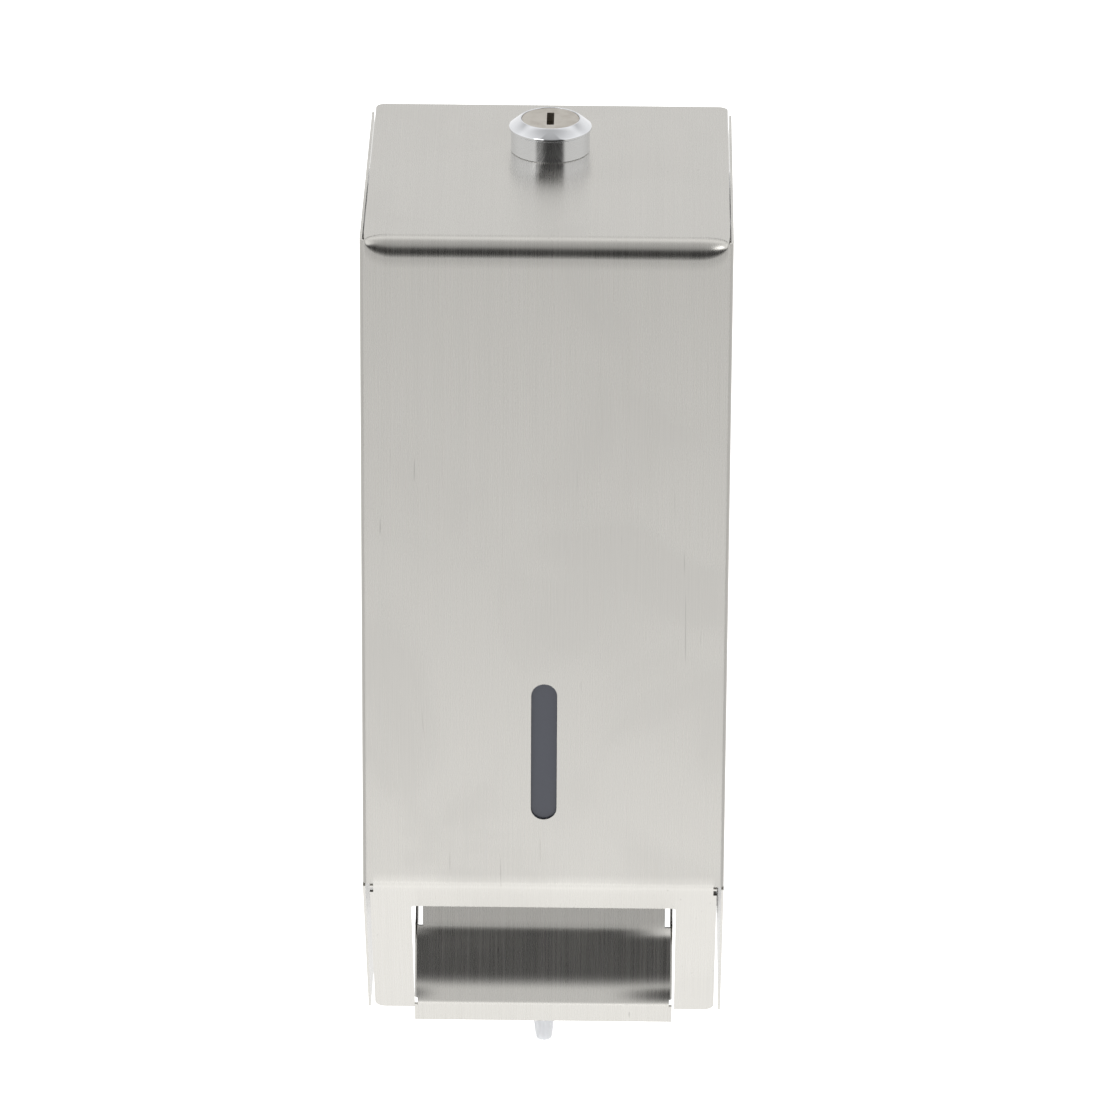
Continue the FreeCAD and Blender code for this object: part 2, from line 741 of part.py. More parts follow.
def build_tank():
    """A moulded tank with a filling mouth on its deck and a threaded outlet below."""
    body = new_body("tank")
    outline = new_sketch(body, "XY_Plane", "tank_outline", S.tank_bottom)
    draw_rectangle(outline, -S.tank_half_width, S.tank_half_width, S.tank_front, S.tank_rear)
    block = extrude(body, outline, "Pad", "tank_block", S.tank_top - S.tank_bottom)
    uprights = edges_at(block.Shape, z=[(S.tank_top + S.tank_bottom) / 2])
    block = round_edges(body, block, uprights, S.tank_corner, "tank_corners")
    spigot = new_sketch(body, "XY_Plane", "spigot", S.spigot_bottom)
    draw_circle(spigot, 0, S.outlet_y, S.spigot_radius)
    extrude(body, spigot, "Pad", "spigot_pad", S.tank_bottom - S.spigot_bottom)
    collar = new_sketch(body, "XY_Plane", "collar", S.tank_top)
    draw_rectangle(collar, -S.mouth_half_x - S.tank_wall, S.mouth_half_x + S.tank_wall,
                   S.mouth_y - S.mouth_half_y - S.tank_wall, S.mouth_y + S.mouth_half_y + S.tank_wall)
    extrude(body, collar, "Pad", "collar_pad", S.collar_height)
    hollow = new_sketch(body, "XY_Plane", "tank_hollow", S.tank_bottom + S.tank_wall)
    draw_rounded_rectangle(hollow, -S.tank_half_width + S.tank_wall, S.tank_half_width - S.tank_wall,
                           S.tank_front + S.tank_wall, S.tank_rear - S.tank_wall,
                           S.tank_corner - S.tank_wall)
    depth = S.tank_top - S.tank_bottom - S.tank_wall * 2
    extrude(body, hollow, "Pocket", "tank_cavity", depth, backwards=True)
    mouth = new_sketch(body, "XY_Plane", "mouth", S.tank_top + S.collar_height + 1)
    draw_rectangle(mouth, -S.mouth_half_x, S.mouth_half_x,
                   S.mouth_y - S.mouth_half_y, S.mouth_y + S.mouth_half_y)
    extrude(body, mouth, "Pocket", "mouth_cut", S.collar_height + S.tank_wall + 2)
    drain = new_sketch(body, "XY_Plane", "drain", S.spigot_bottom - 1)
    draw_circle(drain, 0, S.outlet_y, S.spigot_bore)
    extrude(body, drain, "Pocket", "drain_cut", S.tank_bottom - S.spigot_bottom + S.tank_wall + 2,
            backwards=True)
    finish("tank", body)

    lid_low = S.tank_top + 0.2
    outer_x = S.mouth_half_x + S.lid_overhang
    outer_y = S.mouth_half_y + S.lid_overhang
    cap = part_box("lid_cap", -outer_x, outer_x, S.mouth_y - outer_y, S.mouth_y + outer_y,
                   lid_low, lid_low + S.lid_height)
    inner_x = outer_x - S.tank_wall
    inner_y = outer_y - S.tank_wall
    under = part_box("lid_under", -inner_x, inner_x, S.mouth_y - inner_y, S.mouth_y + inner_y,
                     lid_low - 1, S.tank_top + S.collar_height + 0.8)
    grip = part_box("lid_grip", -S.grip_half_x, S.grip_half_x,
                    S.mouth_y - S.grip_half_y, S.mouth_y + S.grip_half_y,
                    lid_low + S.lid_height - 0.5, lid_low + S.lid_height + S.grip_height)
    shell = fuse("lid_shell", cut("lid_skirted", cap, under), grip)
    rounded = doc.addObject("Part::Fillet", "lid_rounded")
    rounded.Base = shell
    doc.recompute()
    corners = edges_at(shell.Shape, x=[outer_x, -outer_x],
                       y=[S.mouth_y - outer_y, S.mouth_y + outer_y])
    corner = sheet.get("lid_corner")
    rounded.Edges = [(int(name[4:]), corner, corner) for name in corners]
    finish("tank_lid", rounded)

    seal = part_box("seal_outer", -S.mouth_half_x - 1.9, S.mouth_half_x + 1.9,
                    S.mouth_y - S.mouth_half_y - 1.9, S.mouth_y + S.mouth_half_y + 1.9,
                    S.tank_top + S.collar_height + 0.1, S.tank_top + S.collar_height + 0.8)
    seal_hole = part_box("seal_inner", -S.mouth_half_x + 0.5, S.mouth_half_x - 0.5,
                         S.mouth_y - S.mouth_half_y + 0.5, S.mouth_y + S.mouth_half_y - 0.5,
                         S.tank_top, S.tank_top + 6)
    finish("lid_seal", cut("lid_seal", seal, seal_hole))

    # spring clip that holds the tank's rear rim to the back plate
    wide = S.clip_half_width
    thin = S.clip_sheet
    back = -S.plate_sheet
    leg = part_box("clip_leg", -wide, wide, back - thin, back, S.clip_foot, S.clip_top)
    top = part_box("clip_top", -wide, wide, -S.clip_reach, back, S.clip_top - thin, S.clip_top)
    hook = part_box("clip_hook", -wide, wide, -S.clip_reach, -S.clip_reach + thin, S.tank_top, S.clip_top)
    finish("tank_clip", fuse("tank_clip", leg, top, hook))


def build_outlet():
    """The tank nut, the union nut and the washer that join the tank to the pump."""
    shelf_low = S.tank_bottom - S.arm_sheet
    nut_low = shelf_low - S.tank_nut_height
    ring = part_cylinder("tank_nut_ring", S.tank_nut_radius, S.tank_nut_height, 0, S.outlet_y, nut_low)
    ring_hole = part_cylinder("tank_nut_hole", S.spigot_radius, 12, 0, S.outlet_y, nut_low - 4)
    notches = []
    for index in range(8):
        angle = math.radians(45 * index)
        notches.append(part_cylinder(f"tank_nut_notch_{index}", S.notch_radius, 8,
                                     S.notch_circle * math.cos(angle),
                                     S.outlet_y + S.notch_circle * math.sin(angle), nut_low - 2))
    finish("tank_nut", cut("tank_nut", ring, ring_hole, *notches))

    union = turned("union_nut", [
        (S.riser_radius + 0.2, -S.union_drop), (S.union_radius, -S.union_drop),
        (S.union_radius, S.union_rise), (S.spigot_radius, S.union_rise),
        (S.spigot_radius, -S.seat_depth), (S.riser_radius + 0.2, -S.seat_depth)],
        0, S.outlet_y, S.spigot_bottom)
    finish("union_nut", union)
    washer = turned("inlet_washer", [(5.5, -0.8), (12.4, -0.8), (12.4, 0), (5.5, 0)],
                    0, S.outlet_y, S.spigot_bottom)
    finish("inlet_washer", washer)


# ---------------------------------------------------------------- pump

def build_pump():
    """The pump: barrel, riser and duct in one moulding, with its caps, valves, piston and spring."""
    level = S.pump_level
    barrel = part_cylinder("barrel", S.pump_radius, S.pump_rear - S.pump_front,
                           0, S.pump_front, level, ALONG_Y)
    riser = part_cylinder("riser", S.riser_radius, S.spigot_bottom - S.seat_depth - level,
                          0, S.outlet_y, level)
    collar = part_cylinder("riser_collar", 12.4, 2.8, 0, S.outlet_y, S.spigot_bottom - S.seat_depth)
    duct = part_cylinder("duct", S.duct_radius, S.outlet_y + 4 - S.nozzle_y,
                         0, S.nozzle_y, S.duct_level, ALONG_Y)
    elbow = part_cylinder("elbow", S.duct_radius + 0.6, 9.2, 0, S.nozzle_y, S.duct_level - S.elbow_drop)
    web = part_box("duct_web", -2, 2, S.nozzle_y + 5, S.outlet_y + 3, S.duct_level, level - 10.5)
    boss = part_cylinder("port_boss", 4, 12, 0, S.outlet_y - 2, S.duct_level)
    solid = fuse("pump_solid", barrel, riser, collar, duct, elbow, web, boss)
    bore = part_cylinder("pump_bore_tool", S.pump_bore, S.pump_rear - S.pump_front + 2,
                         0, S.pump_front - 1, level, ALONG_Y)
    seat = part_cylinder("inlet_seat_bore", 2.4, 8, 0, S.outlet_y, S.ball_level + 1.2)
    throat = part_cylinder("inlet_throat", 4.6, S.ball_level + 5 - level, 0, S.outlet_y, level)
    funnel = part_cylinder("inlet_funnel", 4.6, 20, 0, S.outlet_y, S.ball_level + 8)
    passage = part_cylinder("duct_bore", 2.2, S.outlet_y - S.nozzle_y,
                            0, S.nozzle_y, S.duct_level, ALONG_Y)
    port = part_cylinder("duct_port", 1.8, 14, 0, S.outlet_y - 2.3, S.duct_level)
    drop = part_cylinder("elbow_bore", 2.6, 12, 0, S.nozzle_y, S.duct_level - 12)
    hollowed = cut("pump_hollowed", solid, bore, throat, seat, funnel, passage, port, drop)
    stop = part_box("ball_stop", -5, 5, S.outlet_y - 0.8, S.outlet_y + 0.8,
                    S.ball_level - S.ball_radius - 2, S.ball_level - S.ball_radius - 0.05)
    finish("pump_body", fuse("pump_body", hollowed, stop))

    ball = part_ball("inlet_ball", S.ball_radius, 0, S.outlet_y, S.ball_level)
    finish("inlet_ball", ball)

    gland = turned("pump_gland", [
        (S.rod_radius + S.running_gap, 0), (14.5, 0), (14.5, 9), (S.pump_radius + 0.05, 9),
        (S.pump_radius + 0.05, 3), (S.rod_radius + S.running_gap, 3)],
        0, S.pump_front - 3, level, ALONG_Y)
    finish("pump_gland", gland)
    end = turned("pump_end_cap", [
        (0, -4), (S.pump_bore, -4), (S.pump_bore, 0), (S.pump_radius + 1.5, 0),
        (S.pump_radius + 1.5, 3), (0, 3)], 0, S.pump_rear, level, ALONG_Y)
    finish("pump_end_cap", end)

    rod_length = S.piston_rear - S.rod_front
    groove = S.piston_front - S.rod_front + 2
    plunger = turned("plunger", [
        (0, 0), (S.rod_radius, 0), (S.rod_radius, S.piston_front - S.rod_front),
        (S.pump_bore - 0.5, S.piston_front - S.rod_front), (S.pump_bore - 0.5, groove),
        (S.pump_bore - 1.8, groove), (S.pump_bore - 1.8, groove + 2.4),
        (S.pump_bore - 0.5, groove + 2.4), (S.pump_bore - 0.5, rod_length), (5.2, rod_length),
        (5.2, rod_length + 3), (0, rod_length + 3)], 0, S.rod_front, level, ALONG_Y)
    finish("plunger", plunger)
    ring = turned("piston_seal", [
        (S.pump_bore - 1.8, 0), (S.pump_bore - 0.05, 0), (S.pump_bore - 0.05, 2.4),
        (S.pump_bore - 1.8, 2.4)], 0, S.rod_front + groove, level, ALONG_Y)
    finish("piston_seal", ring)

    # coil spring between the piston and the end cap
    coil_radius = sheet.get("coil_radius")
    wire_radius = sheet.get("wire_radius")
    start = sheet.get("piston_rear") + wire_radius + 0.05
    stop = sheet.get("pump_rear") - 4 - wire_radius - 0.05
    turns = sheet.get("coil_turns")
    helix = Part.makeHelix((stop - start) / turns, stop - start, coil_radius)
    section = Part.Wire(Part.makeCircle(wire_radius, Vector(coil_radius, 0, 0), Vector(0, 1, 0)))
    coil = Part.Wire(helix).makePipeShell([section], True, True)
    spring = doc.addObject("Part::Feature", "plunger_spring")
    spring.Shape = coil
    spring.Placement = Placement(Vector(0, start, sheet.get("pump_level")), ALONG_Y)
    finish("plunger_spring", spring)

    nozzle_top = S.duct_level - S.elbow_drop
    tip = S.nozzle_tip - nozzle_top
    sleeve = S.elbow_drop - S.fit_gap - S.duct_radius
    nozzle = turned("nozzle", [
        (S.nozzle_bore, 0), (S.nozzle_bore, tip), (S.nozzle_end_radius, tip), (2.5, tip + 0.6),
        (3.0, tip + 4.6), (3.45, -9), (S.nozzle_sleeve_radius, -6), (S.nozzle_sleeve_radius, sleeve),
        (S.duct_radius + 0.65, sleeve), (S.duct_radius + 0.65, 0)],
        0, S.nozzle_y, nozzle_top)
    finish("nozzle", nozzle)
    valve = turned("outlet_valve", [
        (0.3, 0.2), (2.55, 0.2), (2.55, 4.2), (1.6, 4.2), (0.3, 1.0)],
        0, S.nozzle_y, nozzle_top)
    finish("outlet_valve", valve)


# ---------------------------------------------------------------- bracket and lever

def build_bracket():
    """The bracket under the tank: shelf, rear flange with rivets, and two arms for the lever's pin."""
    thick = S.arm_sheet
    shelf_low = S.tank_bottom - thick
    shelf = part_box("bracket_shelf", -S.shelf_half_width, S.shelf_half_width, S.shelf_front,
                     -S.plate_sheet, shelf_low, S.tank_bottom)
    flange = part_box("bracket_flange", -S.bracket_flange_half, S.bracket_flange_half,
                      -S.plate_sheet - thick, -S.plate_sheet, S.bracket_flange_foot, S.tank_bottom)
    hole = part_cylinder("bracket_hole", S.spigot_radius + 0.3, 10, 0, S.outlet_y, shelf_low - 4)
    pieces = [shelf, flange]
    for side, name in ((1, "right"), (-1, "left")):
        arm_x = S.arm_outer - thick if side > 0 else -S.arm_outer
        blade = part_box(f"arm_{name}", arm_x, arm_x + thick, S.pivot_y - S.arm_boss_radius,
                         S.pivot_y + S.arm_depth, S.pivot_level, S.tank_bottom)
        boss = part_cylinder(f"arm_boss_{name}", S.arm_boss_radius, thick,
                             arm_x, S.pivot_y, S.pivot_level, ALONG_X)
        pieces += [blade, boss]
    pin_hole = part_cylinder("arm_pin_hole", S.pivot_pin_radius, S.arm_outer * 2 + 4,
                             -S.arm_outer - 2, S.pivot_y, S.pivot_level, ALONG_X)
    finish("pump_bracket", cut("pump_bracket", fuse("bracket_blank", *pieces), hole, pin_hole))

    rivets = []
    for column, x in (("a", -S.rivet_half_x), ("b", S.rivet_half_x)):
        for line, z in (("low", S.rivet_low), ("high", S.rivet_high)):
            rivets.append(part_cylinder(f"rivet_{column}_{line}", S.rivet_radius, S.rivet_height,
                                        x, -S.plate_sheet - thick - S.rivet_height, z, ALONG_Y))
    finish("bracket_rivets", group("bracket_rivets", *rivets))


def build_lever():
    """The push lever: a bent plate with a turned lip and folded ears, on its bushes, pin and clips."""
    thick = S.lever_sheet
    half = S.lever_half_width
    body = new_body("push_lever")
    outline = new_sketch(body, "YZ_Plane", "lever_outline")
    draw_polygon(outline, thickened([
        (S.lever_top_y, S.pivot_level), (S.band_foot_y, S.band_foot_level),
        (S.plate_foot_y, S.plate_foot_level), (S.crease_y, S.crease_level),
        (S.lip_y, S.lip_level)], thick))
    plate = extrude(body, outline, "Pad", "lever_plate", half * 2, symmetric=True)
    creases = edges_at(plate.Shape, x=[0], y=[S.crease_y], z=[S.crease_level])
    round_edges(body, plate, creases, S.crease_radius, "lever_crease")
    for side in (1, -1):
        notch = new_sketch(body, "XZ_Plane", f"band_notch_{side}")
        draw_rectangle(notch, S.band_half_width * side, (half + 1) * side,
                       S.band_foot_level, S.pivot_level + 6)
        extrude(body, notch, "Pocket", f"band_notch_cut_{side}", THROUGH, symmetric=True)
    for side in (1, -1):
        inside = (half - thick) * side
        ear = new_sketch(body, "YZ_Plane", f"ear_{side}", inside if side > 0 else -half)
        draw_polygon(ear, [
            (S.band_foot_y + 0.3, S.band_foot_level - 0.2), (S.plate_foot_y + 0.4, S.plate_foot_level),
            (S.ear_toe_y, S.plate_foot_level), (S.ear_rear_y, S.ear_rear_low),
            (S.ear_rear_y, S.ear_rear_high), (S.ear_top_rear_y, S.ear_top_level),
            (S.ear_top_front_y, S.ear_top_level), (S.throat_top_y, S.ear_rear_high),
            (S.throat_foot_y, S.throat_foot_level)])
        extrude(body, ear, "Pad", f"ear_pad_{side}", thick)
    eye = new_sketch(body, "YZ_Plane", "lever_eyes")
    draw_circle(eye, S.pivot_y, S.pivot_level, S.eye_radius)
    extrude(body, eye, "Pocket", "lever_eyes_cut", half * 2 + 2, symmetric=True)
    finish("push_lever", body)

    bushes = []
    for side, name in ((1, "right"), (-1, "left")):
        flange = part_cylinder(f"bush_flange_{name}", 4.6, half - thick - S.arm_outer - S.side_play,
                               S.arm_outer + S.side_play, S.pivot_y, S.pivot_level, ALONG_X)
        sleeve = part_cylinder(f"bush_sleeve_{name}", S.eye_radius, thick + 0.4,
                               half - thick, S.pivot_y, S.pivot_level, ALONG_X)
        bore = part_cylinder(f"bush_bore_{name}", S.pivot_pin_radius + S.running_gap, 12,
                             S.arm_outer - 3, S.pivot_y, S.pivot_level, ALONG_X)
        bush = cut(f"bush_{name}", fuse(f"bush_blank_{name}", flange, sleeve), bore)
        bushes.append(bush if side > 0 else mirrored("bush_mirror", bush))
    finish("lever_bushes", group("lever_bushes", *bushes))

    reach = half + 2.4
    pin = part_cylinder("pin_rod", S.pivot_pin_radius, reach * 2, -reach, S.pivot_y, S.pivot_level, ALONG_X)
    finish("lever_pin", pin)
    clips = []
    for side, name in ((1, "right"), (-1, "left")):
        disc = part_cylinder(f"clip_disc_{name}", 4.0, 0.7, half + 1.2, S.pivot_y, S.pivot_level, ALONG_X)
        hole = part_cylinder(f"clip_hole_{name}", S.pivot_pin_radius, 6, half - 1, S.pivot_y,
                             S.pivot_level, ALONG_X)
        mouth = part_box(f"clip_mouth_{name}", half, half + 4, S.pivot_y - 0.9, S.pivot_y + 0.9,
                         S.pivot_level, S.pivot_level + 6)
        clip = cut(f"pin_clip_{name}", disc, hole, mouth)
        clips.append(clip if side > 0 else mirrored("pin_clip_mirror", clip))
    finish("lever_pin_clips", group("lever_pin_clips", *clips))


build_cover()
build_window()
build_lock()
build_back_plate()
build_tank()
build_outlet()
build_pump()
build_bracket()
build_lever()

# ---------------------------------------------------------------- check and export

doc.recompute()
for item in doc.Objects:
    if "Invalid" in item.State or "Error" in item.State:
        raise RuntimeError(f"{item.Name} failed: {item.State}")
os.makedirs("parts", exist_ok=True)
for node, feature in parts.items():
    shape = feature.Shape
    if shape.isNull() or not shape.isValid() or shape.Volume <= 0:
        raise RuntimeError(f"{node} has no valid shape")
    shape.exportStep(f"parts/{node}.step")
    box = shape.BoundBox
    print(f"{node:16s} solids {len(shape.Solids)} volume {shape.Volume:10.1f} "
          f"x {box.XMin:7.2f} {box.XMax:7.2f} y {box.YMin:8.2f} {box.YMax:8.2f} "
          f"z {box.ZMin:8.2f} {box.ZMax:8.2f}")
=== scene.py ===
"""A lockable wall mounted soap dispenser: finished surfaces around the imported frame.

Sizes in the classes are millimetres in the frame's own axes: X to the right, Y into the wall, Z up.
"""

import json
import logging
import math
from dataclasses import dataclass
from enum import Enum

import bmesh
import bpy
import numpy as np
from mathutils import Matrix, Vector


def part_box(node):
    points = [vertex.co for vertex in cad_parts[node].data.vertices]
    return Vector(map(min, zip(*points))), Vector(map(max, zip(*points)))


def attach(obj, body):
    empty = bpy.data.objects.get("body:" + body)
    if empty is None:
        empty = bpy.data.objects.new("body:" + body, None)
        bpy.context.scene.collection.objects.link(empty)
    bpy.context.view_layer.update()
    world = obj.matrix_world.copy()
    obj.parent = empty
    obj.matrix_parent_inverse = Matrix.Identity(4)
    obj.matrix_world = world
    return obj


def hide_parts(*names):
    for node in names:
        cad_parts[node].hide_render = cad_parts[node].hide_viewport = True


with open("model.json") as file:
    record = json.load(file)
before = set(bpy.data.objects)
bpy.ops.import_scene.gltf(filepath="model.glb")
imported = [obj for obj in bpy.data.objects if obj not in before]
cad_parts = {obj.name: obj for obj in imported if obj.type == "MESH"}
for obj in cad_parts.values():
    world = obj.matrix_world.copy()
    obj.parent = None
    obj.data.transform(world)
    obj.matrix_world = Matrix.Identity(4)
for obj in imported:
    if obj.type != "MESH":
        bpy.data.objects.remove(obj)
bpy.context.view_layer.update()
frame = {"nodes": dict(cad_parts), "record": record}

MM = 0.001
log = logging.getLogger("dispenser")

# Lengths in millimetres that differ by less than this count as equal.
NEAR = 1e-6
# Points of a mesh closer than MERGE become one, and edges under SHORTEST go, both in metres.
MERGE = 2e-6
SHORTEST = 1e-6


# ---------------------------------------------------------------- surfaces

def smooth(t: np.ndarray) -> np.ndarray:
    """Ease from 0 to 1: three t squared less two t cubed, with t held between 0 and 1."""
    t = np.clip(t, 0.0, 1.0)
    return t * t * (3.0 - 2.0 * t)


def line(start: float, stop: float, pieces: int) -> np.ndarray:
    """Evenly spaced values from start to stop.

    Args:
        start: the first value.
        stop: the last value.
        pieces: how many steps lie between them.

    Returns:
        pieces + 1 values.
    """
    return np.linspace(start, stop, pieces + 1)


def chain(*runs: np.ndarray) -> np.ndarray:
    """Runs of values set end to end, where each run starts on the value that ended the one before."""
    return np.concatenate([runs[0]] + [run[1:] for run in runs[1:]])


def spread(*arrays: np.ndarray) -> np.ndarray:
    """Points from arrays of x, y and z that are stretched to one shape."""
    return np.stack(np.broadcast_arrays(*arrays), axis=-1).astype(float)


def pair(first: np.ndarray | float, second: np.ndarray | float) -> np.ndarray:
    """Pairs from two arrays that are stretched to one shape.

    Args:
        first: the first value of each pair.
        second: the second value of each pair.

    Returns:
        The pairs, along a new last axis.
    """
    return np.stack(np.broadcast_arrays(first, second), axis=-1)


def directions(steps: int) -> np.ndarray:
    """The angles of a full turn in equal steps, in radians, without a repeated end."""
    return np.arange(steps) * 2 * math.pi / steps


def circle(angles: np.ndarray, radius: np.ndarray | float = 1.0,
           centre: tuple[float, float] | np.ndarray = (0.0, 0.0)) -> np.ndarray:
    """Points about a centre.

    Formula: the centre plus the radius times the cosine and the sine of each angle.

    Args:
        angles: directions in radians.
        radius: one radius, or one for each angle.
        centre: the point that they lie about.

    Returns:
        One point for each angle.
    """
    return pair(centre[0] + radius * np.cos(angles), centre[1] + radius * np.sin(angles))


def around(outline: np.ndarray, centre: tuple[float, float], angles: np.ndarray) -> np.ndarray:
    """Points of a closed outline at given directions from a centre.

    Formula: the outline's own points are turned into direction and distance, and the distance is
    interpolated at each wanted direction.

    Args:
        outline: corners of a star shaped outline, closed by its first corner.
        centre: the point that the directions start from.
        angles: directions in radians.

    Returns:
        One point for each direction.
    """
    ends = np.roll(outline, -1, axis=0)
    steps = np.linspace(0, 1, 60, endpoint=False)
    dense = (outline[:, None] + (ends - outline)[:, None] * steps[None, :, None]).reshape(-1, 2)
    offset = dense - np.array(centre)
    direction = np.arctan2(offset[:, 1], offset[:, 0])
    order = np.argsort(direction)
    distance = np.hypot(offset[:, 0], offset[:, 1])[order]
    reach = np.interp(angles, direction[order], distance, period=2 * math.pi)
    return circle(angles, reach, centre)


def rounded_outline(half_x: float, half_y: float, radius: float, side: int = 8, arc: int = 6) -> np.ndarray:
    """A rectangle with round corners about the origin, counter-clockwise.

    Formula: each corner is a quarter circle about a centre that lies one radius inside both sides.

    Args:
        half_x: half the width.
        half_y: half the depth.
        radius: the corners' radius.
        side: how many steps a straight side has.
        arc: how many steps a corner has.

    Returns:
        The outline's points, without a repeated end.
    """
    corners = np.array([(1, -1), (1, 1), (-1, 1), (-1, -1)]) * np.array([half_x - radius, half_y - radius])
    turn = np.linspace(-math.pi / 2, 0, arc + 1)
    quarter = np.arange(4)[:, None] * math.pi / 2 + turn[None]
    arcs = corners[:, None] + radius * circle(quarter)
    share = np.linspace(0, 1, side + 1)[1:-1, None]
    following = np.roll(arcs[:, 0], -1, axis=0)
    sides = arcs[:, -1][:, None] + (following - arcs[:, -1])[:, None] * share[None]
    return np.concatenate([arcs, sides], axis=1).reshape(-1, 2)


class Surface:
    """A mesh under construction: grids of quads from numpy, with a grain map of across and along."""

    def __init__(self) -> None:
        """Start with nothing."""
        self.points: list[np.ndarray] = []
        self.quads: list[np.ndarray] = []
        self.grain: list[np.ndarray] = []
        self.count = 0

    def grid(self, points: np.ndarray, outward: tuple[float, float, float] | None = None,
             grain: np.ndarray | None = None, wrap: bool = False) -> "Surface":
        """Add a grid of quads.

        Formula: the quad at row i and column j joins the points (i, j), (i, j+1), (i+1, j+1) and
        (i+1, j), and all quads turn over together if their mean normal points away from outward.

        Args:
            points: rows by columns by 3, in millimetres.
            outward: a direction on the seen side, or none to keep the order as it is.
            grain: rows by columns by 2, across and along the grain, or none for x and z.
            wrap: whether the last column joins the first.

        Returns:
            The surface itself.
        """
        rows, columns = points.shape[:2]
        index = np.arange(rows * columns).reshape(rows, columns)
        if wrap:
            index = np.concatenate([index, index[:, :1]], axis=1)
        quads = np.stack([index[:-1, :-1], index[:-1, 1:], index[1:, 1:], index[1:, :-1]], axis=-1)
        quads = quads.reshape(-1, 4)
        flat = points.reshape(-1, 3)
        if outward is not None:
            corners = flat[quads]
            normals = np.cross(corners[:, 2] - corners[:, 0], corners[:, 3] - corners[:, 1])
            if normals.sum(axis=0) @ np.array(outward, float) < 0:
                quads = quads[:, ::-1]
        self.points.append(flat)
        self.quads.append(quads + self.count)
        self.grain.append(flat[:, [0, 2]] if grain is None else grain.reshape(-1, 2))
        self.count += len(flat)
        return self

    def make(self, name: str, crisp: float = 35.0, closed: bool = False) -> bpy.types.Object:
        """Turn the grids into one object whose doubles are merged.

        Args:
            name: the piece's name.
            crisp: edges sharper than this many degrees stay sharp.
            closed: whether the surface is closed, so that its normals can be worked out again.

        Returns:
            The new object, at the origin.
        """
        points = np.concatenate(self.points) * MM
        quads = np.concatenate(self.quads)
        grain = np.concatenate(self.grain) * MM
        mesh = bpy.data.meshes.new(name)
        mesh.from_pydata(points.tolist(), [], quads.tolist())
        layer = mesh.uv_layers.new(name="grain")
        layer.uv.foreach_set("vector", grain[quads.ravel()].astype(np.float32).ravel())
        shape = bmesh.new()
        shape.from_mesh(mesh)
        bmesh.ops.remove_doubles(shape, verts=shape.verts, dist=MERGE)
        bmesh.ops.dissolve_degenerate(shape, edges=shape.edges, dist=SHORTEST)
        if closed:
            bmesh.ops.recalc_face_normals(shape, faces=shape.faces)
        shape.to_mesh(mesh)
        shape.free()
        mesh.polygons.foreach_set("use_smooth", np.ones(len(mesh.polygons), bool))
        mesh.set_sharp_from_angle(angle=math.radians(crisp))
        piece = bpy.data.objects.new(name, mesh)
        bpy.context.scene.collection.objects.link(piece)
        return piece


def thicken(piece: bpy.types.Object, thickness: float) -> None:
    """Give a surface its wall, inwards.

    Args:
        piece: the object.
        thickness: the wall in millimetres.
    """
    solid = piece.modifiers.new("wall", "SOLIDIFY")
    solid.thickness = thickness * MM
    solid.offset = -1.0
    solid.use_even_offset = True


def soften(piece: bpy.types.Object, width: float, angle: float = 40.0, steps: int = 2) -> None:
    """Break the sharp edges of a piece with a small round.

    Args:
        piece: the object.
        width: how wide the round is, in millimetres.
        angle: edges sharper than this many degrees are rounded.
        steps: how many faces make the round.
    """
    bevel = piece.modifiers.new("edges", "BEVEL")
    bevel.width = width * MM
    bevel.segments = steps
    bevel.limit_method = "ANGLE"
    bevel.angle_limit = math.radians(angle)
    bevel.harden_normals = True


def turned_rings(profile: list[tuple[float, float]], centre: tuple[float, float, float],
                 steps: int = 96) -> np.ndarray:
    """A profile turned about a vertical axis.

    Formula: a point at radius r and height h becomes r cos a, r sin a, h for each angle a.

    Args:
        profile: (radius, height) points.
        centre: where radius 0 and height 0 lie.
        steps: how many angles the full turn has.

    Returns:
        One row of points for each profile point.
    """
    turn = directions(steps)
    radius, height = np.array(profile, float).T[:, :, None]
    return spread(radius * np.cos(turn), radius * np.sin(turn), height) + np.array(centre)


# ---------------------------------------------------------------- node trees

